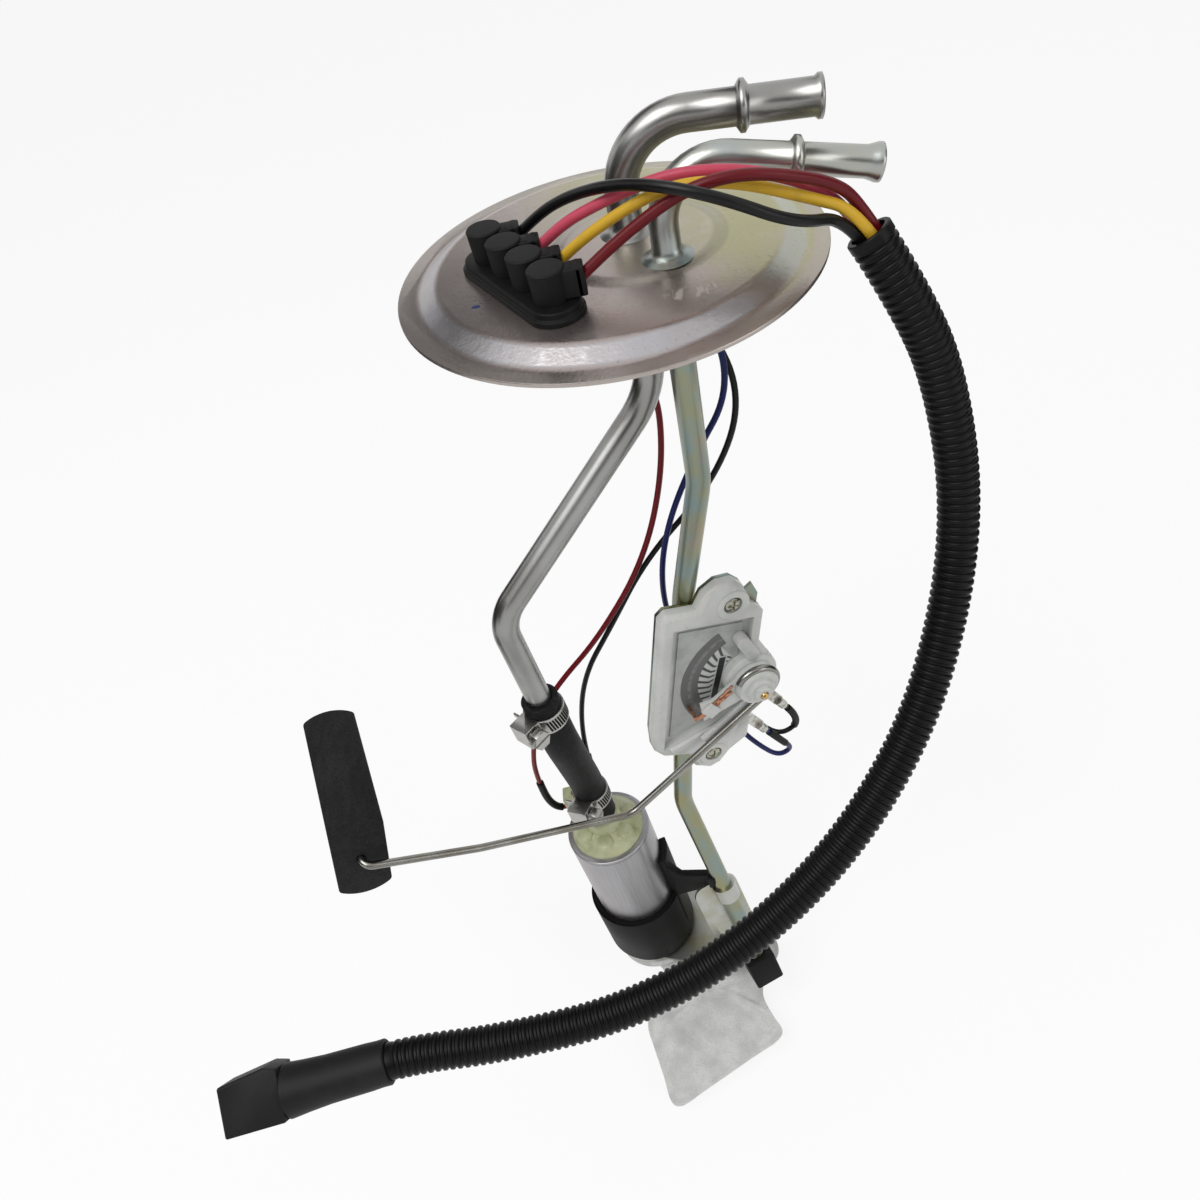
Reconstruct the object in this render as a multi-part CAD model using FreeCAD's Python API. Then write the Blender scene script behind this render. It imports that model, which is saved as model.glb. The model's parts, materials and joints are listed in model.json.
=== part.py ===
import FreeCAD, Part
import math
import os

# In-tank fuel pump hanger with float sender and pigtail harness.
# Millimetres. The origin is the centre of the flange on its seat, the underside of the rim,
# and +Z leaves the tank. The nozzles point along +X and the float reaches out along -X.

V = FreeCAD.Vector

# Driving dimensions
flange_radius = 61.0
sheet = 1.2
supply_od = 9.525
return_od = 8.0
tube_wall = 0.8
pump_radius = 19.0
pump_length = 84.5
loom_od = 12.4
loom_wall = 1.4
lead_od = 3.0
arm_wire = 3.0
float_size = (20.0, 44.0, 56.0)
float_lean = 13.7

# Flange heights, from the seat up
rim_inner = 55.0
plateau_radius = 49.0
plateau_rise = 3.5
plateau_top = plateau_rise + sheet
boss_centre = (9.0, -1.0)
boss_radius = 24.5
boss_slope = 3.0
boss_rise = 0.8
boss_top = plateau_top + boss_rise

# Tubes: centres of both holes, corners of both runs
supply_hole = V(6.8, 4.6, 0)
supply_run = [V(61.0, -1.2, 32.7), V(6.8, 4.6, 35.2), V(6.8, 4.6, -47.0), V(-58.5, -27.0, -106.0),
              V(-52.5, -30.0, -164.0)]
supply_radii = [19.0, 26.0, 17.0]
return_hole = V(15.7, -15.0, 0)
return_run = [V(71.5, -17.5, 19.9), V(15.7, -15.0, 33.0), V(15.7, -15.0, -72.0), V(4.2, -13.4, -126.0),
              V(-10.7, -18.1, -246.0), V(12.0, -52.0, -352.0)]
return_radii = [15.0, 40.0, 90.0, 22.0]

# Terminal block: the row of four posts, first to last, and its base
post_first = V(-32.0, 0.0, 0)
post_last = V(-16.1, -29.9, 0)
post_radius = 4.95
post_top = 17.0
base_half = 7.8
base_top = plateau_top + 3.5
hood_reach = 9.6

# Sender: a point on its front face, the outward normal and lean of its body, and where the arm turns on it
sender_origin = V(28.1, -17.0, -180.5)
sender_normal = V(0.29, -0.957, 0)
sender_lean = 11.3
body_depth = 5.2
plate_back = -body_depth - sheet
pivot_at = (-5.5, 10.8)
pin_radius = 1.5
pin_clearance = 0.05
arm_height = 5.5
arm_loop = 8.2
arm_elbow = V(-60.4, -46.9, 0)
arm_knee = V(-120.7, -25.5, 0)
arm_tip = V(-161.2, -6.6, 0)

# Pump: centre of the top crimp and a second point low on its axis, then heights down from the crimp
pump_top = V(-47.0, -16.0, -261.0)
pump_axis_low = V(-38.5, -18.5, -363.0)
can_low = -pump_length
cup_radius = 22.3
cup_edge = -54.0
cup_end = -92.0
neck_bore = 4.0
neck_radius = 6.2
neck_disc = 20.0
sock_top = -105.0
sock_thick = 8.0
shaft_radius = 2.6
shaft_clearance = 0.05


def unit(v):
    w = V(v)
    w.normalize()
    return w


def frame(origin, x, y, z):
    m = FreeCAD.Matrix(x.x, y.x, z.x, origin.x, x.y, y.y, z.y, origin.y, x.z, y.z, z.z, origin.z, 0, 0, 0, 1)
    return FreeCAD.Placement(m)


def frame_z(origin, z, x_hint):
    z = unit(z)
    x = unit(x_hint - z * x_hint.dot(z))
    return frame(origin, x, z.cross(x), z)


def placed(shape, place):
    s = shape.copy()
    s.Placement = place.multiply(s.Placement)
    return s


def cyl(radius, z0, z1, x=0.0, y=0.0):
    return Part.makeCylinder(radius, z1 - z0, V(x, y, z0))


def ring(outer, inner, z0, z1, x=0.0, y=0.0):
    return cyl(outer, z0, z1, x, y).cut(cyl(inner, z0 - 1, z1 + 1, x, y))


def box(x0, x1, y0, y1, z0, z1):
    return Part.makeBox(x1 - x0, y1 - y0, z1 - z0, V(x0, y0, z0))


def rod(a, b, radius):
    return Part.makeCylinder(radius, (b - a).Length, a, b - a)


def revolved(profile):
    points = [V(r, 0, z) for r, z in profile]
    face = Part.Face(Part.makePolygon(points + points[:1]))
    return face.revolve(V(0, 0, 0), V(0, 0, 1), 360)


def prism(outline, z0, z1):
    points = [V(x, y, z0) for x, y in outline]
    return Part.Face(Part.makePolygon(points + points[:1])).extrude(V(0, 0, z1 - z0))


def smooth_prism(outline, z0, z1):
    curve = Part.BSplineCurve()
    curve.interpolate([V(x, y, z0) for x, y in outline], PeriodicFlag=True)
    return Part.Face(Part.Wire(curve.toShape())).extrude(V(0, 0, z1 - z0))


def stadium(a, b, radius, z0, z1):
    along = unit(b - a)
    side = V(-along.y, along.x, 0) * radius
    slab = prism([(p.x, p.y) for p in (a + side, b + side, b - side, a - side)], z0, z1)
    return slab.fuse([cyl(radius, z0, z1, a.x, a.y), cyl(radius, z0, z1, b.x, b.y)]).removeSplitter()


def turn_at(points, i):
    return (points[i] - points[i - 1]).getAngle(points[i + 1] - points[i])


def cord_radii(points):
    radii = []
    for i in range(1, len(points) - 1):
        shorter = min((points[i] - points[i - 1]).Length, (points[i + 1] - points[i]).Length)
        radii.append(0.45 * shorter / math.tan(turn_at(points, i) / 2))
    return radii


def path(points, radii):
    edges = []
    start = points[0]
    length = 0.0
    for i in range(1, len(points) - 1):
        back = unit(points[i - 1] - points[i])
        ahead = unit(points[i + 1] - points[i])
        half = turn_at(points, i) / 2
        reach = radii[i - 1] * math.tan(half)
        a = points[i] + back * reach
        b = points[i] + ahead * reach
        middle = points[i] + unit(back + ahead) * (radii[i - 1] / math.cos(half) - radii[i - 1])
        if (a - start).Length > 1e-4:
            edges.append(Part.LineSegment(start, a).toShape())
        edges.append(Part.Arc(a, middle, b).toShape())
        start = b
    edges.append(Part.LineSegment(start, points[-1]).toShape())
    return Part.Wire(edges)


def swept(wire, start, ahead, radius):
    circle = Part.Wire(Part.Circle(start, ahead, radius).toShape())
    return wire.makePipeShell([circle], True, False)


def pipe(points, radii, outer, inner=0.0):
    wire = path(points, radii)
    ahead = points[1] - points[0]
    solid = swept(wire, points[0], ahead, outer)
    if inner:
        solid = solid.cut(swept(wire, points[0], ahead, inner))
    return solid


def cord(name, points, radius, inner=0.0):
    radii = cord_radii(points)
    solid = pipe(points, radii, radius, inner)
    length = path(points, radii).Length
    print(name, "length %.0f" % length, "radii", [round(r) for r in radii],
          "volume ratio %.4f" % (solid.Volume / (math.pi * (radius ** 2 - inner ** 2) * length)))
    return solid


def beside(points, across, over):
    # The same route, moved sideways by a pair of offsets that turn with it
    runs = [unit(points[i + 1] - points[i]) for i in range(len(points) - 1)]
    side = unit(V(0, 0, 1).cross(runs[0])) if abs(runs[0].z) < 0.9 else unit(V(1, 0, 0).cross(runs[0]))
    shift = side * across + runs[0].cross(side) * over
    moved = [points[0] + shift]
    for i in range(1, len(runs)):
        axis = unit(runs[i - 1].cross(runs[i]))
        angle = runs[i - 1].getAngle(runs[i])
        turned = FreeCAD.Rotation(axis, math.degrees(angle)).multVec(shift)
        miter = unit(runs[i] - runs[i - 1])
        height = (shift + turned).dot(miter) / 2 / math.cos(angle / 2) ** 2
        moved.append(points[i] + axis * shift.dot(axis) + miter * height)
        shift = turned
    moved.append(points[-1] + shift)
    return moved


# Local frames
across = V(0.957, 0.29, 0)
n = unit(sender_normal)
lean = math.radians(sender_lean)
body_up = unit(V(0, 0, math.cos(lean)) + unit(across) * math.sin(lean))
body_right = body_up.cross(n)
sender = frame(sender_origin, body_right, body_up, n)
pivot = sender.multVec(V(pivot_at[0], pivot_at[1], 0))
hub = frame(pivot, body_right, body_up, n)
arm = frame(pivot + n * arm_height, unit(across), V(0, 0, 1), n)
pump = frame_z(pump_top, pump_top - pump_axis_low, V(1, 0, 0))

row = unit(post_last - post_first)
pitch = (post_last - post_first).Length / 3
posts = [post_first + row * (pitch * i) for i in range(4)]


def flange_plate():
    top = [(0, plateau_rise), (plateau_radius, plateau_rise), (rim_inner, 0), (flange_radius, 0)]
    low = [(flange_radius, sheet), (rim_inner, sheet), (plateau_radius, plateau_top), (0, plateau_top)]
    plate = revolved(top + low)
    bx, by = boss_centre
    crown = boss_radius - boss_slope
    raised = Part.makeCone(boss_radius, crown, boss_rise, V(bx, by, plateau_top))
    hollow = Part.makeCone(boss_radius - 0.6, crown - 0.6, boss_rise, V(bx, by, plateau_rise))
    plate = plate.fuse(raised).cut(hollow)
    plate = plate.cut(cyl(supply_od / 2, -5, 10, supply_hole.x, supply_hole.y))
    plate = plate.cut(cyl(return_od / 2, -5, 10, return_hole.x, return_hole.y))
    for p in posts:
        plate = plate.cut(cyl(2.4, -5, 10, p.x, p.y))
    return plate.removeSplitter()


def nozzle_bead(run, distance, od, height):
    ahead = unit(run[0] - run[1])
    place = frame_z(run[0] - ahead * distance, ahead, V(0, 0, 1))
    bead = revolved([(od / 2, -1.8), (od / 2 + height, -0.6), (od / 2 + height, 0.6), (od / 2, 1.8)])
    return placed(bead, place)


def braze_fillet(hole, od):
    fillet = revolved([(od / 2, boss_top), (od / 2 + 3.2, boss_top), (od / 2 + 1.0, boss_top + 1.2),
                       (od / 2, boss_top + 3.0)])
    fillet.translate(hole)
    return fillet


def supply_tube():
    r = supply_od / 2
    tube = pipe(supply_run, supply_radii, r)
    ahead = unit(supply_run[0] - supply_run[1])
    place = frame_z(supply_run[0], ahead, V(0, 0, 1))
    lip = placed(revolved([(r, -2.2), (r + 0.7, -1.4), (r + 0.7, -0.3), (r, 0)]), place)
    bead = nozzle_bead(supply_run, 20.5, supply_od, 1.7)
    solid = tube.fuse([bead, lip, braze_fillet(supply_hole, supply_od)])
    return solid.cut(pipe(supply_run, supply_radii, r - tube_wall)).removeSplitter()


def return_tube():
    r = return_od / 2
    tube = pipe(return_run, return_radii, r)
    ahead = unit(return_run[0] - return_run[1])
    place = frame_z(return_run[0], ahead, V(0, 0, 1))
    lip = placed(revolved([(r, -4.0), (r + 0.8, -1.2), (r + 0.8, -0.3), (r, 0)]), place)
    bead = nozzle_bead(return_run, 22.0, return_od, 1.6)
    solid = tube.fuse([bead, lip, braze_fillet(return_hole, return_od)])
    return solid.cut(pipe(return_run, return_radii, r - tube_wall)).removeSplitter()


def terminal_base():
    a = post_first - row * 1.6
    b = post_last + row * 1.6
    foot = stadium(a, b, base_half, plateau_top, plateau_top + 1.6)
    step = stadium(a, b, base_half - 1.0, plateau_top + 1.6, base_top)
    solid = foot.fuse(step)
    for p in posts:
        solid = solid.fuse(cyl(2.4, -2.5, plateau_top, p.x, p.y))
        solid = solid.fuse(cyl(3.4, -2.5, plateau_rise, p.x, p.y))
        solid = solid.cut(cyl(1.4, -3.5, -0.5, p.x, p.y))
    return solid.removeSplitter()


def terminal_boot(p):
    post = Part.makeCone(post_radius - 0.35, post_radius, post_top - base_top, V(p.x, p.y, base_top))
    hood = box(p.x, p.x + hood_reach, p.y - 2.7, p.y + 2.7, post_top - 8.6, post_top - 0.8)
    mouth = [e for e in hood.Edges if e.BoundBox.XMin > p.x + 9]
    return post.fuse(hood.makeFillet(0.8, mouth)).removeSplitter()


# Harness: the loom's own route, the fan of leads that enters its mouth, and the plug at its end
loom_run = [V(66.2, -25.2, 6.1), V(76.3, -30.8, -12.2), V(85.5, -33.5, -36.0), V(90.5, -42.0, -72.0),
            V(84.7, -57.6, -104.8), V(68.4, -79.5, -136.3), V(39.8, -100.7, -164.9), V(2.9, -116.5, -187.5),
            V(-38.1, -128.0, -197.5), V(-82.1, -132.0, -197.0), V(-111.0, -132.4, -193.8),
            V(-122.5, -133.8, -194.05)]
lead_offsets = [(-1.6, -1.6), (1.6, -1.6), (-1.6, 1.6), (1.6, 1.6)]
black_arch = [V(-16.5, -2.5, 18.5), V(-7.0, -9.0, 24.5), V(4.5, -22.0, 30.5), V(16.0, -35.0, 33.0),
              V(29.0, -39.5, 29.0), V(45.8, -37.6, 18.4)]
pink_arch = [V(-11.0, -12.5, 18.6), V(-1.5, -15.5, 23.2), V(11.6, -20.0, 28.3), V(22.0, -24.3, 30.8),
             V(36.0, -24.8, 28.6), V(51.8, -24.3, 21.7)]
yellow_arch = [V(-6.5, -21.5, 17.8), V(6.0, -24.2, 24.6), V(15.0, -27.0, 28.6), V(24.0, -28.6, 29.6),
               V(35.0, -28.6, 27.1), V(51.0, -27.9, 19.6)]
red_arch = [V(0.5, -29.6, 18.2), V(13.6, -30.6, 26.0), V(22.3, -32.4, 30.2), V(33.0, -32.6, 31.2),
            V(45.0, -30.6, 27.8), V(58.0, -25.8, 21.0)]
lead_arches = [black_arch, pink_arch, yellow_arch, red_arch]
lead_grip = 1.0
mouth_run = 7.0
boot_length = 32.0
plug_face = boot_length + 20.5
contact_places = [(-3.2, -4.3), (-3.2, 4.1), (3.2, -4.3), (3.2, 4.1)]


def plug_frame():
    return frame_z(loom_run[-1], loom_run[-1] - loom_run[-2], V(0, -0.55, 0.83))


def lead_route(i):
    across_i, over_i = lead_offsets[i]
    inside = beside(loom_run, across_i, over_i)
    inside[0] = inside[0] - unit(loom_run[1] - loom_run[0]) * mouth_run
    p = posts[i]
    exit_point = V(p.x + hood_reach - lead_grip, p.y, post_top - 4.4)
    return [exit_point] + lead_arches[i] + inside


def loom():
    return cord("loom", loom_run, loom_od / 2, loom_od / 2 - loom_wall)


def plug_boot():
    grip = revolved([(0, 0), (7.3, 0), (7.5, 4), (7.7, 18), (8.8, boot_length), (0, boot_length)])
    collar = ring(7.4, loom_od / 2, -3.0, 0)
    return placed(grip.fuse(collar), plug_frame())


def plug_body():
    side = [(-8.2, boot_length), (-8.2, plug_face), (7.8, plug_face), (10.0, boot_length + 4.5),
            (8.7, boot_length)]
    wire = Part.makePolygon([V(-7.0, y, z) for y, z in side + side[:1]])
    shell = Part.Face(wire).extrude(V(14.0, 0, 0))
    shell = shell.makeFillet(0.9, [e for e in shell.Edges if e.BoundBox.ZMin > boot_length + 1])
    for x, y in contact_places:
        shell = shell.cut(box(x - 2.0, x + 2.0, y - 2.8, y + 2.8, boot_length + 8, plug_face + 5))
    latch = box(-8.8, -6.9, -3.0, 3.0, boot_length + 4, plug_face - 6)
    return placed(shell.fuse(latch), plug_frame())


def plug_contact(place):
    x, y = place
    return placed(box(x - 0.4, x + 0.4, y - 1.3, y + 1.3, boot_length + 8, plug_face - 4), plug_frame())


# Float sender, in its own frame: x right, y up along the body, z out of the face
body_outline = [(-45.0, 49.5), (-42.6, 52.2), (-31.0, 51.0), (-28.6, 57.0), (-23.5, 60.8), (-17.5, 60.8),
                (-13.0, 57.0), (-9.0, 48.0), (-3.2, 42.5), (-3.0, 27.0), (3.0, 17.5), (3.0, 4.0),
                (-1.7, -1.0), (-1.7, -27.0), (-9.1, -32.8), (-13.0, -39.0), (-18.0, -41.0), (-24.5, -37.5),
                (-28.5, -28.5), (-39.5, -25.0), (-43.8, -20.0), (-45.3, -9.0)]
pocket_outline = [(-40.0, 44.5), (-7.5, 41.5), (-7.5, -6.0), (-22.0, -13.0), (-40.0, -20.0)]
card_outline = [(-36.5, 40.2), (-10.2, 37.6), (-11.5, -6.0), (-36.7, -16.5)]
screw_upper = (-17.3, 50.6)
screw_lower = (-17.6, -31.0)
boss_round = 11.0
pocket_floor = -3.6
card_top = pocket_floor + 0.8
tab_one = ((-2.0, 3.0), (11.5, -13.0))
tab_two = ((-6.0, -12.8), (4.2, -24.9))
tab_level = -3.0
tab_barrel = 1.9
hub_low = 2.3
finger_low = 4.0
finger_sheet = 0.4


def sender_plate():
    plate = prism(body_outline, plate_back, -body_depth)
    ear = prism([(-12.0, 50.0), (-7.5, 54.0), (-4.4, 48.5), (-4.4, 43.0)], plate_back, -body_depth)
    plate = placed(plate.fuse(ear), sender)
    axis_a, axis_b = return_run[3], return_run[4]
    along = unit(axis_b - axis_a)
    front = placed(box(-90, 90, -90, 90, plate_back, 30), sender)
    for t in (0.16, 0.52):
        centre = axis_a + (axis_b - axis_a) * t
        x = unit(along.cross(n))
        saddle = placed(box(-7.5, 7.5, -5, 5, -1.2, 6.0), frame(centre, x, n.cross(x), n))
        plate = plate.fuse(saddle.cut(front))
    plate = plate.cut(pipe(return_run, return_radii, return_od / 2))
    for (x, y), r in ((screw_upper, 1.6), (screw_lower, 1.6), (pivot_at, pin_radius)):
        plate = plate.cut(placed(cyl(r, -9, 0, x, y), sender))
    return plate.removeSplitter()


def tab_strip(tab):
    a = V(tab[0][0], tab[0][1], 0)
    b = V(tab[1][0], tab[1][1], 0)
    along = unit(b - a)
    side = V(-along.y, along.x, 0) * 2.2
    return prism([(p.x, p.y) for p in (a + side, b + side, b - side, a - side)], tab_level, tab_level + 0.8)


def sender_body():
    solid = prism(body_outline, -body_depth, 0)
    rim = [e for e in solid.Edges if e.BoundBox.ZMin > -0.1]
    solid = solid.makeChamfer(1.6, rim)
    solid = solid.cut(prism(pocket_outline, pocket_floor, 1))
    boss = revolved([(0, -body_depth), (boss_round, -body_depth), (boss_round, 0.6), (boss_round - 2.4, 2.2),
                     (0, 2.2)])
    boss.translate(V(pivot_at[0], pivot_at[1], 0))
    knuckle = stadium(V(-11.5, 31.0, 0), V(-6.5, 23.0, 0), 2.6, card_top, 2.0)
    guard = prism([(-38.0, -19.8), (-13.0, -9.5), (-11.0, -14.5), (-36.0, -23.5)], -1.0, 1.4)
    solid = solid.fuse([boss, knuckle, guard])
    for (x, y), r in ((screw_upper, 6.5), (screw_lower, 6.0)):
        solid = solid.fuse(ring(r, 3.6, -body_depth, 0.6, x, y))
        solid = solid.cut(cyl(1.6, -9, 3, x, y)).cut(cyl(3.6, -1.2, 3, x, y))
    for tab in (tab_one, tab_two):
        solid = solid.cut(tab_strip(tab))
    return placed(solid.cut(cyl(pin_radius, -9, 9, *pivot_at)).removeSplitter(), sender)


def sender_card():
    card = prism(card_outline, pocket_floor, card_top)
    return placed(card.cut(cyl(boss_round, -9, 9, *pivot_at)), sender)


def arc_band(r0, r1, a0, a1, z0, z1):
    start, end = math.radians(a0), math.radians(a1)
    middle = (start + end) / 2
    at = lambda r, a: V(r * math.cos(a), r * math.sin(a), z0)
    outer = Part.Arc(at(r1, start), at(r1, middle), at(r1, end)).toShape()
    inner = Part.Arc(at(r0, end), at(r0, middle), at(r0, start)).toShape()
    far = Part.LineSegment(at(r1, end), at(r0, end)).toShape()
    near = Part.LineSegment(at(r0, start), at(r1, start)).toShape()
    return Part.Face(Part.Wire([outer, far, inner, near])).extrude(V(0, 0, z1 - z0))


def sender_resistor():
    return placed(arc_band(21.2, 28.3, 121, 225, card_top, card_top + 0.2), hub)


def sender_hub():
    knob = revolved([(0, hub_low), (9.2, hub_low), (9.2, 4.4), (8.2, 5.5), (8.2, 7.3), (7.4, 8.2), (5.4, 8.2),
                     (5.4, 9.4), (4.8, 10.0), (3.6, 10.0), (3.6, 11.2), (3.0, 11.8), (0, 11.8)])
    carrier = prism([(-5.0, 6.4), (-17.2, -4.4), (-22.6, -5.0), (-20.4, -14.6), (-14.0, -12.0), (-3.0, -7.5)],
                    hub_low, finger_low)
    lever = prism([(6.0, -1.0), (-20.5, -25.5), (-15.5, -31.5), (9.0, -8.5)],
                  hub_low, arm_height - arm_wire / 2)
    groove = Part.makeTorus(arm_loop, arm_wire / 2, V(0, 0, arm_height))
    solid = knob.fuse([carrier, lever]).cut(groove)
    return placed(solid.cut(cyl(pin_radius + pin_clearance, 0, 20)).removeSplitter(), hub)


def sender_pin():
    head = plate_back - 1.7
    solid = revolved([(0, head), (3.0, head), (3.0, plate_back), (pin_radius, plate_back), (pin_radius, 12.2),
                      (1.1, 12.7), (0, 12.7)])
    return placed(solid, hub)


def wiper_contact():
    top = finger_low + finger_sheet
    finger = prism([(-10.4, -0.8), (-17.0, -7.2), (-16.0, -8.4), (-9.8, -2.2)], finger_low, top)
    second = prism([(-10.4, 2.8), (-18.6, -6.0), (-17.4, -7.0), (-10.0, 0.8)], finger_low, top)
    block = prism([(-22.0, -5.6), (-16.0, -5.4), (-14.2, -11.2), (-19.8, -13.6)], finger_low, 5.2)
    tip = prism([(-20.8, -8.8), (-24.2, -10.6), (-23.2, -12.8), (-20.0, -11.4)], finger_low, top)
    leg = prism([(-24.2, -10.6), (-25.2, -11.1), (-24.2, -13.3), (-23.2, -12.8)], card_top + 0.5, top)
    return placed(finger.fuse([second, block, tip, leg]).removeSplitter(), hub)


def sender_screw(at):
    x, y = at
    head = revolved([(0, -1.2), (3.2, -1.2), (3.0, 0.2), (1.6, 1.0), (0, 1.0)])
    head = head.cut(box(-2.2, 2.2, -0.4, 0.4, 0.3, 2)).cut(box(-0.4, 0.4, -2.2, 2.2, 0.3, 2))
    solid = head.fuse(cyl(1.6, -9.0, -1.2))
    solid.translate(V(x, y, 0))
    return placed(solid, sender)


def tab_end(tab):
    a, b = V(tab[0][0], tab[0][1], 0), V(tab[1][0], tab[1][1], 0)
    along = unit(b - a)
    return b + along * 4.0 + V(0, 0, tab_level + 0.8), along


def terminal_tab(tab):
    end, along = tab_end(tab)
    barrel = rod(end - along * 5.0, end, tab_barrel)
    return placed(tab_strip(tab).fuse(barrel).removeSplitter(), sender)


def float_arm():
    # Once round the groove of the hub, then out to the float and through it, in the frame of the arm
    exit_angle = math.atan2(arm_elbow.y, arm_elbow.x) + math.acos(arm_loop / arm_elbow.Length)
    start_angle = math.radians(150)
    at = lambda a: V(arm_loop * math.cos(a), arm_loop * math.sin(a), 0)
    loop = Part.Arc(at(start_angle), at((start_angle + exit_angle) / 2), at(exit_angle)).toShape()
    line = path([at(exit_angle), arm_elbow, arm_knee, arm_tip, arm_tip + V(0, 0, -10)], [9.0, 60.0, 4.0])
    heading = V(math.sin(start_angle), -math.cos(start_angle), 0)
    body = swept(Part.Wire([loop] + line.Edges), at(start_angle), heading, arm_wire / 2)
    spike = rod(arm_tip + V(0, 0, -10), arm_tip + V(0, 0, 6 - float_size[2]), arm_wire / 2)
    return placed(body.fuse(spike).removeSplitter(), arm)


def float_block():
    wide, tall, long = float_size
    half, top, bow, ease = wide / 2, tall / 2, 4.0, 2.4
    profile = [Part.LineSegment(V(-half, bow - top, 0), V(-half, top - bow, 0)),
               Part.Arc(V(-half, top - bow, 0), V(0, top, 0), V(half, top - bow, 0)),
               Part.LineSegment(V(half, top - bow, 0), V(half, bow - top, 0)),
               Part.Arc(V(half, bow - top, 0), V(0, -top, 0), V(-half, bow - top, 0))]
    solid = Part.Face(Part.Wire([s.toShape() for s in profile])).extrude(V(0, 0, -long))
    solid = solid.makeFillet(ease, [e for e in solid.Edges if e.BoundBox.ZLength > long - 1])
    solid = solid.cut(cyl(arm_wire / 2, 6 - long, 1))
    solid.rotate(V(0, 0, 0), V(0, 0, 1), -float_lean)
    solid.translate(arm_tip + V(0, 0, -arm_wire / 2 - 2.6))
    return placed(solid, arm)


# Pump, in its own frame: z up along the can, top crimp at 0
def pump_can():
    can = ring(pump_radius, pump_radius - sheet, can_low, 0)
    top = ring(pump_radius - 0.6, pump_radius - 2.6, -0.9, 0)
    low = ring(pump_radius - 0.6, pump_radius - 2.6, can_low, can_low + 0.9)
    solid = can.fuse([top, low])
    edge = [e for e in solid.Edges if abs(e.BoundBox.XLength - 2 * pump_radius) < 0.01]
    solid = solid.makeFillet(0.55, [e for e in edge if e.BoundBox.ZLength < 0.01])
    return placed(solid.removeSplitter(), pump)


tower = V(-11.0, 10.2, 0)
tower_height = 17.0
tower_tab = 8.0
tower_two = V(0.5, 12.4, 0)
cover_height = 10.0
terminal_radius = 1.0
outlet_top = 32.0
valve_bore = 2.9
ball_rest = 13.75
valve_top = 19.0


def pump_cap():
    disc = revolved([(0, -8), (pump_radius - 1.2, -8), (pump_radius - 1.2, -0.9), (pump_radius - 2.6, -0.9),
                     (pump_radius - 2.6, 1.0), (12.5, 4.2), (8.0, 5.4), (8.0, 12.0), (supply_od / 2, 13.5),
                     (supply_od / 2, outlet_top - 1.6), (supply_od / 2 - 0.7, outlet_top), (0, outlet_top)])
    post = box(tower.x - 5.0, tower.x + 4.0, tower.y - 4.0, tower.y + 4.0, 0, tower_height)
    post = post.makeFillet(0.8, [e for e in post.Edges if e.BoundBox.ZLength > 10])
    cover = box(tower_two.x - 3.5, tower_two.x + 3.5, tower_two.y - 3.5, tower_two.y + 2.6, 0, cover_height)
    lobes = []
    for angle in (-150, -95, -40, 15):
        a = math.radians(angle)
        x, y = 11.2 * math.cos(a), 11.2 * math.sin(a)
        lobes.append(Part.makeCone(4.6, 3.4, 6.2, V(x, y, 0)))
    solid = disc.fuse([post, cover] + lobes)
    solid = solid.cut(cyl(1.9, -9, outlet_top + 1)).cut(cyl(valve_bore, 12, valve_top))
    solid = solid.cut([positive_terminal(), negative_terminal()])
    solid = solid.cut(cyl(shaft_radius + shaft_clearance, -9, -5))
    return placed(solid.removeSplitter(), pump)


def positive_terminal():
    pin = cyl(terminal_radius, -8.0, tower_height + 0.5, tower.x, tower.y)
    tab = rod(V(tower.x, tower.y, tower_tab), V(tower.x - 5.8, tower.y, tower_tab), terminal_radius)
    return pin.fuse(tab).removeSplitter()


def negative_terminal():
    return cyl(terminal_radius, -8.0, cover_height + 4.0, tower_two.x, tower_two.y)


def check_ball():
    return placed(Part.makeSphere(2.4, V(0, 0, ball_rest)), pump)


def armature_shaft():
    return placed(cyl(shaft_radius, can_low + 9.0, -5.2), pump)


def armature_core():
    low = can_low + 30.5
    stack = ring(11.5, shaft_radius, low, -30)
    for i in range(8):
        slot = box(8.2, 13, -0.9, 0.9, low - 5, -25)
        slot.rotate(V(0, 0, 0), V(0, 0, 1), 45 * i)
        stack = stack.cut(slot)
    commutator = ring(9.5, shaft_radius, -26, -19)
    spacer = ring(6.0, shaft_radius, -30, -26)
    return placed(stack.fuse([commutator, spacer]).removeSplitter(), pump)


def magnet_ring():
    return placed(ring(pump_radius - sheet, 12.2, can_low + 27.0, -26), pump)


def brush(side):
    return placed(box(-2.0, 2.0, side * 7.0 - 2.0, side * 7.0 + 2.0, -18.9, -8.0), pump)


def impeller():
    low = can_low + 13.0
    disc = ring(15.0, shaft_radius, low, low + 3.0)
    for i in range(18):
        notch = box(13.2, 16, -0.8, 0.8, low - 1, low + 4)
        notch.rotate(V(0, 0, 0), V(0, 0, 1), 20 * i)
        disc = disc.cut(notch)
    return placed(disc, pump)


def pump_chamber():
    low = can_low + 12.7
    solid = ring(pump_radius - sheet, shaft_radius + shaft_clearance, low, low + 12.0)
    port = box(10.5, 15.4, -2.5, 2.5, low - 1, low + 13)
    return placed(solid.cut(cyl(15.4, low - 1, low + 3.6)).cut(port), pump)


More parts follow.
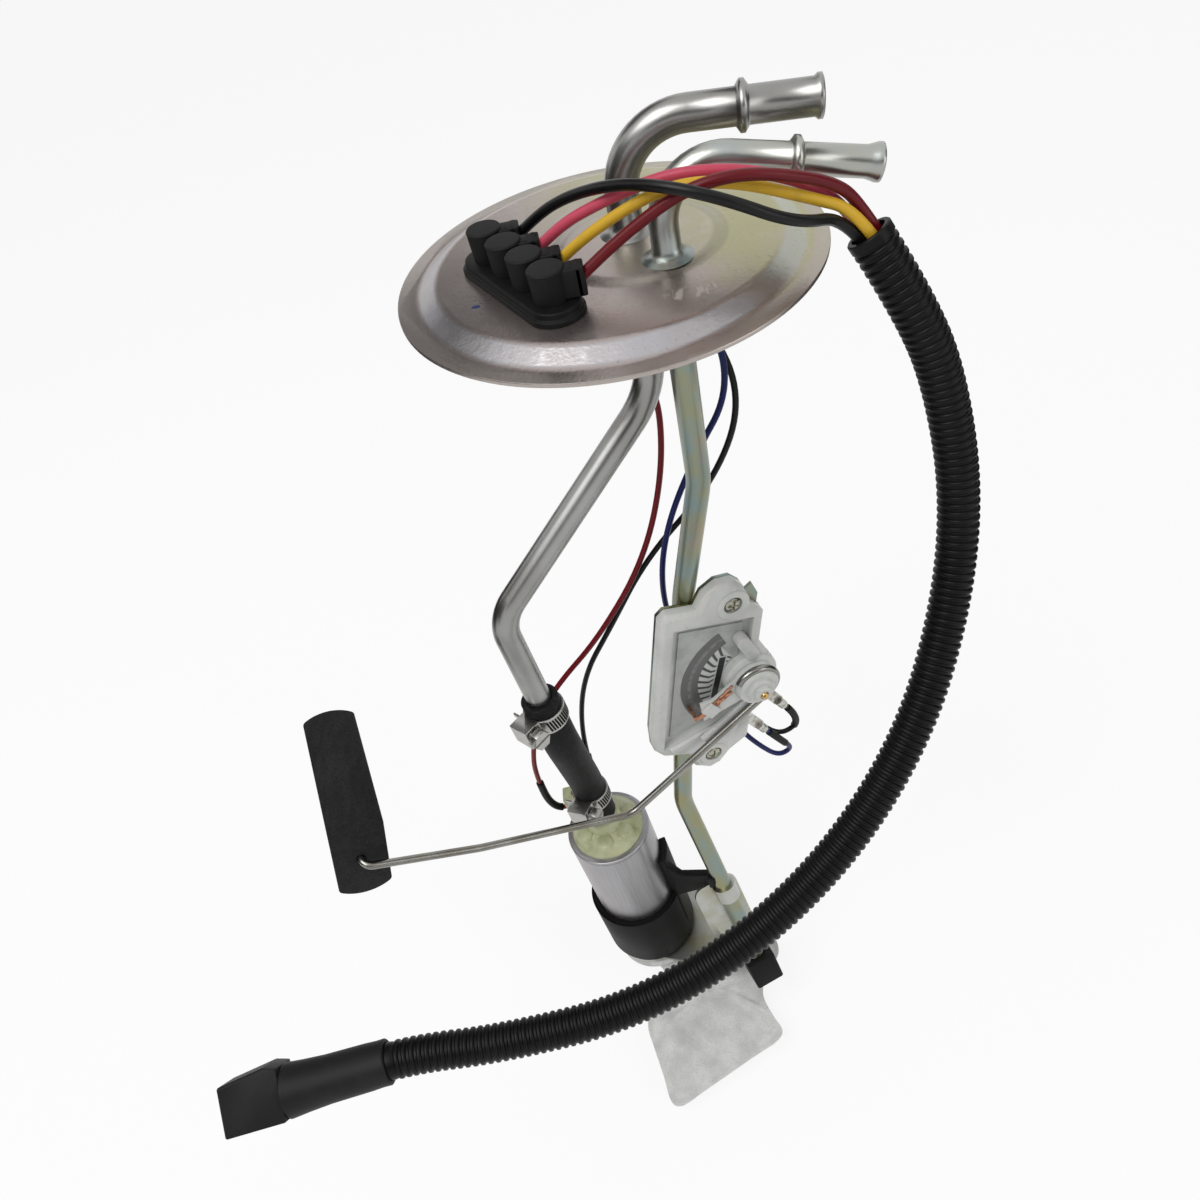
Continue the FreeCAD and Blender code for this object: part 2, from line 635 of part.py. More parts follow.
def pump_inlet():
    bore = shaft_radius + shaft_clearance
    solid = cyl(pump_radius - sheet, can_low + 0.9, can_low + 12.7)
    solid = solid.cut(cyl(bore, can_low + 8, can_low + 14)).cut(cyl(2.2, can_low, can_low + 14, 0, 11.5))
    spigot = ring(neck_bore, shaft_radius, can_low - 13.0, can_low + 0.9)
    gallery = cyl(shaft_radius, can_low, can_low + 5).fuse(box(-2.2, 2.2, 0, 11.5, can_low + 1, can_low + 5))
    return placed(solid.fuse(spigot).cut(gallery).removeSplitter(), pump)


lug_top = -24.0
bracket_sheet = 1.5
bracket_hang = 58.0
tube_end = bracket_hang - (return_run[-1] - return_run[-2]).Length
cap_half = 7.0


def foot_frame():
    a, b = return_run[-2], return_run[-1]
    down = unit(b - a)
    m = unit(down.cross(unit(across)))
    right = unit(m.cross(down))
    return frame(a + down * bracket_hang, right, down * -1, right.cross(down * -1))


def pump_holder():
    cup = revolved([(0, cup_end), (cup_radius - 2.5, cup_end), (cup_radius, cup_end + 3.5),
                    (cup_radius, cup_edge + 1.0), (cup_radius - 1.0, cup_edge), (pump_radius, cup_edge),
                    (pump_radius, can_low), (0, can_low)])
    lug = ring(cup_radius, pump_radius, cup_edge - 4, lug_top)
    wedge = prism([(0, 0), (40, -19), (40, 8)], cup_edge - 4, lug_top)
    solid = cup.fuse(lug.common(wedge)).cut(cyl(neck_radius, cup_end - 1, can_low + 1))
    foot = foot_frame()
    grip = pump.inverse().multVec(foot.multVec(V(0, 9.6, 0)))
    reach = math.hypot(grip.x, grip.y)
    web = prism([(cup_radius - 1.0, cup_edge - 2), (reach, grip.z - 5), (reach, grip.z + 3),
                 (cup_radius + 5, -36), (cup_radius - 1.0, lug_top - 4)], -1.8, 1.8)
    seat = box(reach - 4.6, reach - 1.0, grip.z - 5.0, grip.z + 3.0, -4.2, 4.2)
    web = web.fuse(seat)
    web.rotate(V(0, 0, 0), V(1, 0, 0), 90)
    web.rotate(V(0, 0, 0), V(0, 0, 1), math.degrees(math.atan2(grip.y, grip.x)))
    solid = placed(solid.fuse(web), pump)
    tube = rod(foot.multVec(V(0, -8, 0)), foot.multVec(V(0, 30, 0)), return_od / 2)
    return solid.cut(tube).cut(foot_bracket()).removeSplitter()


def turned(shape):
    # A shape built along z, laid along y
    s = shape.copy()
    s.rotate(V(0, 0, 0), V(1, 0, 0), -90)
    return s


def foot_bracket():
    foot = foot_frame()
    half_od = return_od / 2
    back, front = -half_od - bracket_sheet, -half_od
    outline = [(-14.5, -66.0), (-7.8, -66.0), (-7.8, -44.0), (-3.0, -39.0), (7.0, -30.0), (7.0, 4.0),
               (-14.5, 4.0)]
    sheet_leg = prism(outline, back, front)
    top = [e for e in sheet_leg.Edges if e.BoundBox.YMin > 3.9 and e.BoundBox.ZLength > 1]
    sheet_leg = sheet_leg.makeFillet(5.0, top)
    clasp = turned(ring(half_od + 1.4, half_od, -4.0, 4.0))
    leg = placed(sheet_leg.fuse(clasp), foot)
    leg = leg.cut(placed(box(-90, 120, -90, 90, -190, cup_end - bracket_sheet), pump))
    leg = leg.cut(placed(cyl(cup_radius, cup_end, 0), pump))
    heel = pump.inverse().multVec(foot.multVec(V(-14.5, -56, back)))
    toe = pump.inverse().multVec(foot.multVec(V(-7.8, -56, back)))
    strap = prism([(2, 19.0), (heel.x + 3, 16.0), (toe.x, toe.y + 2.5), (toe.x, toe.y), (heel.x, heel.y),
                   (2, -20.0)], cup_end - bracket_sheet, cup_end)
    disc = cyl(21.0, cup_end - bracket_sheet, cup_end)
    solid = placed(disc.fuse(strap), pump).fuse(leg)
    solid = solid.cut(placed(cyl(neck_radius, cup_end - 3, cup_end + 3), pump))
    solid = solid.cut(rod(foot.multVec(V(0, -80, 0)), foot.multVec(V(0, 20, 0)), half_od))
    return solid.cut(cap_block(0.4)).removeSplitter()


def strainer_neck():
    shoulder = sock_top + 3.0
    disc_top = shoulder + 3.0
    solid = revolved([(neck_bore, sock_top), (neck_disc - 2.5, sock_top), (neck_disc - 2.5, shoulder),
                      (neck_disc, shoulder), (neck_disc, disc_top - 1.2), (neck_disc - 1.2, disc_top),
                      (neck_radius, disc_top), (neck_radius, can_low), (neck_bore, can_low)])
    for angle in (20, 110, 200, 290):
        root = neck_radius - 0.2
        rib = prism([(root, disc_top), (15.0, disc_top), (root, disc_top + 4.5)], -0.8, 0.8)
        rib.rotate(V(0, 0, 0), V(1, 0, 0), 90)
        rib.rotate(V(0, 0, 0), V(0, 0, 1), angle)
        solid = solid.fuse(rib)
    return placed(solid.removeSplitter(), pump)


sock_outline = [(-4.6, -83.0), (-6.8, -71.0), (-9.8, -57.0), (-11.6, -45.0), (-6.5, -31.0),
                (0.0, -20.0), (-8.5, -9.0), (-16.5, 1.5), (-13.5, 13.5), (0.0, 20.5), (18.0, 20.8),
                (36.0, 14.0), (49.0, 5.5), (57.5, -7.5), (60.0, -21.0), (52.0, -31.0), (47.8, -41.0),
                (50.5, -52.0), (53.6, -60.0), (49.5, -65.0), (38.0, -69.8), (25.2, -75.4),
                (11.0, -81.6), (0.5, -86.0)]


def sock_inset(k):
    cx = sum(p[0] for p in sock_outline) / len(sock_outline)
    cy = sum(p[1] for p in sock_outline) / len(sock_outline)
    return [(cx + (x - cx) * k, cy + (y - cy) * k) for x, y in sock_outline]


def strainer_sock():
    middle = sock_top - sock_thick / 2
    hem = smooth_prism(sock_outline, middle - 0.6, middle + 0.6)
    bulge = smooth_prism(sock_inset(0.93), middle - 2.6, middle + 2.6)
    crown = smooth_prism(sock_inset(0.84), sock_top - sock_thick, sock_top)
    return placed(hem.fuse([bulge, crown]).removeSplitter(), pump)


def cap_block(grow):
    half = cap_half + grow
    block = box(-half, half, tube_end - 3.5 - grow, tube_end + 12.0 + grow, -half, half)
    return placed(block.makeFillet(1.2, [e for e in block.Edges if e.BoundBox.YLength > 10]), foot_frame())


def tube_end_cap():
    bore = turned(cyl(return_od / 2, tube_end, tube_end + 20))
    return cap_block(0).cut(placed(bore, foot_frame()))


# Hose from the supply tube to the pump's outlet, with a worm clamp at each end
hose_radius = supply_od / 2 + 2.4
band_half = 3.7
worm_lift = 3.4
worm_radius = 2.65


def hose_run():
    low_end = pump.multVec(V(0, 0, 13.5))
    low_turn = pump.multVec(V(0, 0, 38.0))
    along = unit(supply_run[-1] - supply_run[-2])
    top_end = supply_run[-1] - along * 17.0
    top_turn = supply_run[-1] + along * 8.0
    return [top_end, top_turn, low_turn, low_end]


def hose():
    return pipe(hose_run(), [60.0, 60.0], hose_radius, supply_od / 2)


def clamp_frames():
    run = hose_run()
    upper = unit(run[0] - run[1])
    lower = unit(run[2] - run[3])
    return [frame_z(run[0] - upper * 8.5, upper, V(-0.72, -0.69, 0)),
            frame_z(run[3] + lower * 14.5, lower, V(-0.5, -0.9, 0))]


def clamp_band(place):
    r = hose_radius
    band = ring(r + 0.8, r, -band_half, band_half)
    saddle = box(r - 0.5, r + 3.0, -4.5, 4.5, -4.4, 4.4).cut(cyl(r, -9, 9))
    worm = turned(cyl(worm_radius, -9, 12, r + worm_lift, 0))
    ears = box(r + 1.0, r + 6.6, -4.5, 4.5, -4.4, 4.4)
    tail = box(r + 0.4, r + 1.2, -8.6, 0, -3.2, 3.2).cut(cyl(r + 0.4, -9, 9))
    solid = band.fuse([saddle, ears, tail]).cut(worm)
    return placed(solid.removeSplitter(), place)


def clamp_screw(place):
    axis = hose_radius + worm_lift
    worm = cyl(worm_radius, -4.5, 5.2, axis, 0)
    corners = [math.radians(60 * i) for i in range(6)]
    head = prism([(axis + 4.0 * math.cos(a), 4.0 * math.sin(a)) for a in corners], 5.2, 8.8)
    slot = box(axis - 5, axis + 5, -0.45, 0.45, 7.6, 10)
    return placed(turned(worm.fuse(head).cut(slot)), place)


# Leads inside the tank, held from end to end
tank_lead_radius = 1.1
red_route = [V(-21.4, -19.9, -2.5), V(-21.4, -19.9, -10.0), V(-18.0, -13.0, -17.0), V(-9.0, 3.0, -25.5),
             V(8.2, 13.5, -49.0), V(6.1, 9.5, -82.0), V(-6.6, 3.0, -118.0), V(-30.0, -1.0, -151.0),
             V(-51.5, -4.0, -171.5), V(-63.5, -7.0, -188.0), V(-69.0, -8.0, -205.0), V(-72.0, -8.0, -222.0)]
black_route = [V(-26.7, -10.0, -2.5), V(-26.7, -10.0, -10.0), V(-24.5, -4.0, -16.5), V(-18.0, 7.0, -19.0),
               V(2.0, 20.0, -18.5), V(27.0, 15.0, -33.0), V(35.0, 5.0, -58.0), V(22.0, 3.5, -88.8),
               V(-6.1, 6.5, -121.0), V(-25.0, 4.5, -152.0), V(-40.5, 3.0, -176.0), V(-48.0, 2.0, -206.0)]
blue_route = [V(-16.1, -29.9, -2.5), V(-16.1, -29.9, -11.0), V(-11.0, -23.0, -18.0), V(6.0, -1.0, -19.0),
              V(29.0, 6.0, -31.0), V(30.0, 3.0, -54.0), V(17.0, 2.0, -74.0), V(3.0, -2.0, -100.0),
              V(-3.0, -1.0, -130.0), V(-1.0, 2.0, -160.0), V(8.0, 3.0, -190.0)]


def red_lead_route():
    side = pump.multVec(tower + V(-5.8, 0, tower_tab))
    outside = pump.multVec(tower + V(-12.4, 0, tower_tab))
    return red_route + [outside, side]


def black_lead_route():
    top = pump.multVec(tower_two + V(0, 0, cover_height + 4.0))
    above = pump.multVec(tower_two + V(0, 0, cover_height + 16.0))
    return black_route + [above, top]


def blue_lead_route():
    end, along = tab_end(tab_two)
    loop = [V(-4.5, -27.0, -16.5), V(1.5, -36.5, -10.5), V(9.5, -45.5, -7.0), V(19.0, -54.5, -5.5),
            V(24.5, -49.5, -4.0), end + along * 15.0, end]
    return blue_route + [sender.multVec(p) for p in loop]


def ground_route():
    end, along = tab_end(tab_one)
    loop = [end, end + along * 9.5, V(25.0, -36.0, -5.0), V(18.0, -41.0, -6.5), V(9.0, -34.0, -10.0),
            V(0.0, -25.0, -13.5), V(-7.0, -20.5, -13.5), V(-7.0, -20.5, plate_back)]
    return [sender.multVec(p) for p in loop]


def write(name, shape):
    solids = shape.Solids
    if not shape.isValid() or len(solids) != 1:
        print("CHECK", name, "valid", shape.isValid(), "solids", len(solids))
    solids[0].exportStep("parts/%s.step" % name)


os.makedirs("parts", exist_ok=True)
write("flange_plate", flange_plate())
write("supply_tube", supply_tube())
write("return_tube", return_tube())
write("terminal_base", terminal_base())
for i in range(4):
    write("terminal_boot_%d" % (i + 1), terminal_boot(posts[i]))
for i, colour in enumerate(("black", "pink", "yellow", "red")):
    write("lead_%s" % colour, cord(colour, lead_route(i), lead_od / 2))
write("loom", loom())
write("plug_boot", plug_boot())
write("plug_body", plug_body())
for i, place in enumerate(contact_places):
    write("plug_contact_%d" % (i + 1), plug_contact(place))
write("sender_plate", sender_plate())
write("sender_body", sender_body())
write("sender_card", sender_card())
write("sender_resistor", sender_resistor())
write("sender_hub", sender_hub())
write("sender_pin", sender_pin())
write("wiper_contact", wiper_contact())
write("sender_screw_upper", sender_screw(screw_upper))
write("sender_screw_lower", sender_screw(screw_lower))
write("sender_tab_one", terminal_tab(tab_one))
write("sender_tab_two", terminal_tab(tab_two))
write("float_arm", float_arm())
write("float", float_block())
write("pump_can", pump_can())
write("pump_cap", pump_cap())
write("pump_terminal_pos", placed(positive_terminal(), pump))
write("pump_terminal_neg", placed(negative_terminal(), pump))
write("check_ball", check_ball())
write("armature_shaft", armature_shaft())
write("armature_core", armature_core())
write("magnet_ring", magnet_ring())
write("brush_1", brush(1))
write("brush_2", brush(-1))
write("impeller", impeller())
write("pump_chamber", pump_chamber())
write("pump_inlet", pump_inlet())
write("pump_holder", pump_holder())
write("foot_bracket", foot_bracket())
write("strainer_neck", strainer_neck())
write("strainer_sock", strainer_sock())
write("tube_end_cap", tube_end_cap())
write("hose", hose())
for label, place in zip(("upper", "lower"), clamp_frames()):
    write("clamp_%s_band" % label, clamp_band(place))
    write("clamp_%s_screw" % label, clamp_screw(place))
write("tank_lead_red", cord("tank red", red_lead_route(), tank_lead_radius))
write("tank_lead_black", cord("tank black", black_lead_route(), tank_lead_radius))
write("tank_lead_blue", cord("tank blue", blue_lead_route(), tank_lead_radius))
write("ground_lead", cord("ground", ground_route(), tank_lead_radius))
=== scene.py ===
import json
import math

import bmesh
import bpy
from mathutils import Matrix, Vector, noise

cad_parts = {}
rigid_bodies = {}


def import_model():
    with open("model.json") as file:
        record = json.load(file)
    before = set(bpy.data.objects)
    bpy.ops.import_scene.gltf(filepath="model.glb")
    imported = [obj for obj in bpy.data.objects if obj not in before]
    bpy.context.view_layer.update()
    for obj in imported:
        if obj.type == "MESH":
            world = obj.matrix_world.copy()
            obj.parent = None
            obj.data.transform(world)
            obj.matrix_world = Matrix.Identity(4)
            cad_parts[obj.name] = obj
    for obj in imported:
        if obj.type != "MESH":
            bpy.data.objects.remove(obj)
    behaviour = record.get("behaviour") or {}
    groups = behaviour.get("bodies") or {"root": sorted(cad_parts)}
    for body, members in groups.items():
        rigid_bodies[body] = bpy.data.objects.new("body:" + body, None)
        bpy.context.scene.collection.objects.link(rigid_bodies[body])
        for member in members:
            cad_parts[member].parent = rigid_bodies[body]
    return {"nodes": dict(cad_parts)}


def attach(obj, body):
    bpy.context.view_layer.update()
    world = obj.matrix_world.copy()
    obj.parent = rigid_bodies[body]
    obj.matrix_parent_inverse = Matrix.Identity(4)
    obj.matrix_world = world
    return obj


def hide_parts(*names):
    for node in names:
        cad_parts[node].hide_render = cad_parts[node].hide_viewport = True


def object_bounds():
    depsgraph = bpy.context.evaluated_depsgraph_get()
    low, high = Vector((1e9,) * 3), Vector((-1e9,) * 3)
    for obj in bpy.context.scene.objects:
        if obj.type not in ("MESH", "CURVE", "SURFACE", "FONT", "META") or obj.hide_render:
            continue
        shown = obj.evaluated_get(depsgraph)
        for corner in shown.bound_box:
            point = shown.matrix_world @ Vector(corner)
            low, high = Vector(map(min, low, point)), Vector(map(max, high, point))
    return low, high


# In-tank fuel pump hanger with a float sender and a pigtail harness, dressed over its CAD frame.
# Local shapes are modelled in millimetres and set in the frame in metres.
for leftover in list(bpy.data.objects):
    bpy.data.objects.remove(leftover)
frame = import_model()
cad_low, cad_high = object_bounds()
millimetre = 0.001


# Flange plate
# A disc of 1.2 mm steel, pressed into a raised floor with a conical wall, a flat rim and a low boss
# round the two tubes. It is zinc plated and yellow passivated, so it shifts from pink to olive.
def tone(red, green, blue):
    """An sRGB tone out of 255 as the linear colour that a shader takes."""
    return (*(((c / 255 + 0.055) / 1.055) ** 2.4 if c > 10 else c / 3294.6 for c in (red, green, blue)), 1.0)


class Value:
    """A number or colour that varies over a surface, and takes part in sums."""

    def __init__(self, finish, socket):
        self.finish = finish
        self.socket = socket

    def math(self, operation, *others):
        return self.finish.node("ShaderNodeMath", {"operation": operation}, dict(enumerate((self, *others))))

    def __add__(self, other):
        return self.math("ADD", other)

    def __sub__(self, other):
        return self.math("SUBTRACT", other)

    def __mul__(self, other):
        return self.math("MULTIPLY", other)

    def __truediv__(self, other):
        return self.math("DIVIDE", other)

    def __rsub__(self, other):
        return self.finish.node("ShaderNodeMath", {"operation": "SUBTRACT"}, {0: other, 1: self})

    __radd__ = __add__
    __rmul__ = __mul__

    def rise(self, low, high):
        """0 below low and 1 above high, with a soft step between them."""
        ends = {"Value": self, "From Min": low, "From Max": high}
        return self.finish.node("ShaderNodeMapRange", {"interpolation_type": "SMOOTHSTEP"}, ends)

    def band(self, low, high, edge):
        """1 between low and high, fading out over edge on both sides."""
        return self.rise(low - edge, low) * (1 - self.rise(high, high + edge))


class Finish:
    """A surface finish: its material, its shader and the nodes that vary it."""

    def __init__(self, name, colour, roughness, metallic=0.0, **constants):
        self.material = bpy.data.materials.new(name)
        self.material.use_nodes = True
        self.tree = self.material.node_tree
        self.shader = self.tree.nodes["Principled BSDF"]
        self.colour = colour
        named = {key.replace("_", " "): value for key, value in constants.items()}
        named.update({"Base Color": colour, "Roughness": roughness, "Metallic": metallic})
        for socket, value in named.items():
            self.shader.inputs[socket].default_value = value
        self.place = self.node("ShaderNodeTexCoord", {}, {}, 3)

    def feed(self, socket, value):
        if isinstance(value, Value):
            self.tree.links.new(value.socket, socket)
        else:
            socket.default_value = value

    def node(self, kind, settings, inputs, out=0):
        made = self.tree.nodes.new(kind)
        for key, value in settings.items():
            setattr(made, key, value)
        for key, value in inputs.items():
            self.feed(made.inputs[key], value)
        return Value(self, made.outputs[out])

    def set(self, socket, value):
        self.feed(self.shader.inputs[socket], value)

    def grain(self, size, detail=2.0, place=None):
        """Noise whose features are size millimetres across."""
        inputs = {"Vector": place or self.place, "Scale": 1000.0 / size, "Detail": detail}
        return self.node("ShaderNodeTexNoise", {}, inputs)

    def mix(self, one, other, share):
        return self.node("ShaderNodeMix", {"data_type": "RGBA"}, {0: share, 6: one, 7: other}, 2)

    def tint(self, one, other, share):
        """A base colour that goes from one tone to the other."""
        self.set("Base Color", self.mix(one, other, share))

    def bump(self, height, depth):
        """Relief that stands depth millimetres high where height is 1."""
        inputs = {"Height": height, "Distance": depth * millimetre, "Strength": 1.0}
        self.set("Normal", self.node("ShaderNodeBump", {}, inputs))

    def local(self, place):
        """Coordinates in millimetres in a frame of the piece's own."""
        inputs = {"Vector": self.place, "Location": place.translation * millimetre,
                  "Rotation": place.to_euler(), "Scale": (millimetre,) * 3}
        return self.node("ShaderNodeMapping", {"vector_type": "TEXTURE"}, inputs)

    def stretched(self, vector, factors):
        return self.node("ShaderNodeVectorMath", {"operation": "MULTIPLY"}, {0: vector, 1: factors})

    def axes(self, vector):
        split = self.node("ShaderNodeSeparateXYZ", {}, {0: vector}).socket.node
        return [Value(self, output) for output in split.outputs]


def merged(node):
    """A welded copy of a CAD node's mesh, in millimetres, with its flat faces whole."""
    bm = bmesh.new()
    bm.from_mesh(frame["nodes"][node].data)
    bmesh.ops.scale(bm, vec=(1000, 1000, 1000), verts=bm.verts)
    bmesh.ops.remove_doubles(bm, verts=bm.verts, dist=0.003)
    bmesh.ops.dissolve_limit(bm, angle_limit=math.radians(0.8), verts=bm.verts, edges=bm.edges)
    return bm


def eased(bm, width, segments, above, where=None):
    """Rounds the edges that turn by more than an angle, all of them or those that where picks."""
    edges = [e for e in bm.edges if e.is_manifold and e.calc_face_angle(0.0) > math.radians(above)]
    if where:
        edges = [e for e in edges if where((e.verts[0].co + e.verts[1].co) / 2)]
    bmesh.ops.bevel(bm, geom=edges, offset=width, offset_type="OFFSET", affect="EDGES", segments=segments,
                    profile=0.5, material=-1, clamp_overlap=False)
    return bm


def piece(name, bm, finish, slot, place=Matrix(), body="hanger", stands_for=(), smooth=40.0):
    """A mesh modelled in millimetres becomes a piece that is set in its place and rides on a body."""
    bmesh.ops.remove_doubles(bm, verts=bm.verts, dist=0.001)
    bmesh.ops.recalc_face_normals(bm, faces=bm.faces)
    mesh = bpy.data.meshes.new(name)
    bm.to_mesh(mesh)
    bm.free()
    mesh.transform(Matrix.Scale(millimetre, 4) @ place)
    mesh.polygons.foreach_set("use_smooth", [True] * len(mesh.polygons))
    mesh.set_sharp_from_angle(angle=math.radians(smooth))
    mesh.materials.append(finish.material)
    made = bpy.data.objects.new(name, mesh)
    bpy.context.scene.collection.objects.link(made)
    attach(made, body)
    if stands_for:
        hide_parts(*stands_for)
    return made


def dressed(name, node, finish, slot, ease=None, **more):
    """A copy of one CAD node in the node's own place, with its edges eased where ease says how."""
    bm = merged(node)
    if ease:
        eased(bm, *ease)
    return piece(name, bm, finish, slot, stands_for=[node], **more)


plateau_radius = 49.0
rim_inner = 55.0
boss_centre = Vector((9.0, -1.0, 0.0))
boss_radius = 24.5
boss_slope = 3.0
paint_dot = Vector((-37.0, -19.4, 4.7))
scuff_centre = Vector((19.0, -34.5, 5.0))


def zinc_plate():
    finish = Finish("zinc_plate", tone(150, 142, 136), 0.34, 0.9)
    x, y, z = finish.axes(finish.local(Matrix()))

    def squared(centre, wide, deep):
        """The squared distance from a centre, weighted along x and y."""
        across, along = x - centre.x, y - centre.y
        return across * across * wide + along * along * deep

    radius = (x * x + y * y).math("SQRT")
    clouds = finish.grain(26.0, 3.0)
    patches = finish.grain(9.0, 4.0)
    specks = finish.grain(1.1, 3.0)
    olive_side = (x * 0.012 + y * 0.01 + clouds * 1.5 - 0.55).rise(0.0, 0.9)
    colour = finish.mix(tone(172, 161, 157), tone(170, 167, 132), olive_side)
    colour = finish.mix(colour, tone(186, 180, 176), patches.rise(0.5, 0.75) * 0.4)
    # Painted reflection: a mottled pale blue cast on the conical wall stands in for the light that the cone
    # mirrors.
    painted_wall_reflection = radius.band(plateau_radius + 0.8, rim_inner - 0.8, 1.2)
    colour = finish.mix(colour, tone(168, 178, 190), painted_wall_reflection * (0.1 + clouds * 0.5))
    # Painted highlight: the flat rim is painted lighter and less pink.
    painted_rim_highlight = radius.rise(rim_inner + 0.8, rim_inner + 3.0)
    colour = finish.mix(colour, tone(176, 168, 162), painted_rim_highlight * 0.7)
    # Painted shade: the sloping side of the boss is painted darker.
    painted_boss_slope_shade = squared(boss_centre, 1.0, 1.0).math("SQRT").band(boss_radius - boss_slope, boss_radius, 1.2)
    colour = finish.mix(colour, tone(124, 122, 112), painted_boss_slope_shade * 0.35)
    colour = finish.mix(colour, tone(112, 104, 98), specks.rise(0.62, 0.74) * 0.35)
    scuff_place = finish.stretched(finish.place, (1.0, 0.25, 1.0))
    scuff_near = 1 - squared(scuff_centre, 0.35, 3.0).rise(8.0, 40.0)
    scuff = finish.grain(1.6, 4.0, scuff_place).rise(0.5, 0.6) * scuff_near
    colour = finish.mix(colour, tone(206, 204, 198), scuff * 0.45)
    dot = squared(paint_dot, 0.5, 1.0) + patches * 1.2
    dot = (1 - dot.rise(1.3, 1.9)) * z.rise(3.9, 4.3)
    finish.tint(colour, tone(34, 42, 92), dot)
    finish.set("Metallic", 0.95 - dot * 0.95 - scuff * 0.2)
    finish.set("Roughness", 0.2 + clouds * 0.12 + specks * 0.1 + scuff * 0.2)
    finish.bump(specks + patches * 0.6 + scuff * 0.8, 0.05)
    return finish


def on_a_bend(point):
    """True on the circles where the sheet is bent, and not at its edge or its holes."""
    flat = Vector((point.x, point.y, 0.0))
    boss = (flat - boss_centre).length
    bends = min(abs(flat.length - plateau_radius), abs(flat.length - rim_inner))
    return bends < 0.6 or min(abs(boss - boss_radius), abs(boss - boss_radius + boss_slope)) < 0.8


plate = eased(merged("flange_plate"), 1.2, 4, 8.0, on_a_bend)
eased(plate, 0.2, 2, 60.0, lambda point: Vector((point.x, point.y)).length > 60.5)
piece("flange", plate, zinc_plate(), "zinc_plate", stands_for=["flange_plate"], smooth=28.0)


# Supply and return tubes
# Welded steel tubes bent to their runs, brazed where they pass the plate, with a rolled stop bead and a
# flared lip on each nozzle. The supply tube is bright satin zinc, the return tube yellow passivated.
def bright_tube():
    finish = Finish("tube_steel", tone(150, 149, 147), 0.3, 1.0)
    smooth = finish.grain(22.0, 2.0)
    specks = finish.grain(0.9, 3.0)
    colour = finish.mix(tone(146, 145, 142), tone(162, 162, 161), smooth.rise(0.35, 0.7))
    finish.tint(colour, tone(112, 108, 98), specks.rise(0.62, 0.78) * 0.3)
    finish.set("Roughness", 0.25 + smooth * 0.1 + specks * 0.04)
    return finish


def yellow_tube():
    finish = Finish("yellow_zinc", tone(150, 150, 120), 0.3, 0.95)
    x, y, z = finish.axes(finish.local(Matrix()))
    clouds = finish.grain(18.0, 3.0)
    streaks = finish.grain(3.0, 3.0, finish.stretched(finish.place, (1.0, 1.0, 0.16)))
    bluish = (clouds * 1.3 + streaks * 0.5 - 0.4).rise(0.25, 0.8)
    colour = finish.mix(tone(146, 143, 108), tone(128, 146, 146), bluish)
    colour = finish.mix(colour, tone(178, 179, 177), z.rise(2.0, 12.0) * 0.75)
    colour = finish.mix(colour, tone(160, 136, 132), finish.grain(11.0, 2.0).rise(0.58, 0.72) * 0.3)
    finish.set("Base Color", colour)
    finish.set("Roughness", 0.2 + clouds * 0.16 + streaks * 0.06)
    finish.bump(streaks + clouds, 0.03)
    return finish


tube_steel = bright_tube()
yellow_zinc = yellow_tube()
dressed("supply_pipe", "supply_tube", tube_steel, "tube_steel", smooth=50.0)
dressed("return_pipe", "return_tube", yellow_zinc, "yellow_zinc", smooth=50.0)


# Terminal block
# A moulded base seals the four studs to the plate. On each stud sits a round rubber boot with a square
# hood over its lead. All of it is matt black, and the boots are pushed on by hand.
def moulded_black(name, level, roughness, grain_size):
    finish = Finish(name, tone(level, level, level), roughness, Specular_IOR_Level=0.16)
    fine = finish.grain(grain_size, 3.0)
    haze = finish.grain(grain_size * 14, 3.0)
    dusty = tone(level + 9, level + 9, level + 10)
    finish.tint(finish.colour, dusty, haze.rise(0.42, 0.75) * 0.6)
    finish.set("Roughness", roughness - 0.1 + fine * 0.12 + haze * 0.1)
    finish.bump(fine + haze, 0.03)
    return finish


def turned(profile, steps=48):
    """A profile of (radius, height) points, turned once round the height axis."""
    bm = bmesh.new()
    verts = [bm.verts.new((radius, 0.0, height)) for radius, height in profile]
    edges = [bm.edges.new(pair) for pair in zip(verts, verts[1:])]
    bmesh.ops.spin(bm, geom=verts + edges, cent=(0, 0, 0), axis=(0, 0, 1), angle=math.tau, steps=steps,
                   use_merge=True)
    bmesh.ops.remove_doubles(bm, verts=bm.verts, dist=0.0005)
    return bm


def block(bm, low, high, ease=0.0, segments=2):
    """A box between two corners, with its edges rounded."""
    size = Vector(high) - Vector(low)
    middle = Matrix.Translation((Vector(high) + Vector(low)) / 2) @ Matrix.Diagonal((*size, 1.0))
    made = bmesh.ops.create_cube(bm, size=1.0, matrix=middle)["verts"]
    edges = list({e for v in made for e in v.link_edges})
    if ease:
        bmesh.ops.bevel(bm, geom=edges, offset=ease, offset_type="OFFSET", affect="EDGES", segments=segments,
                        profile=0.5, material=-1)
    return bm


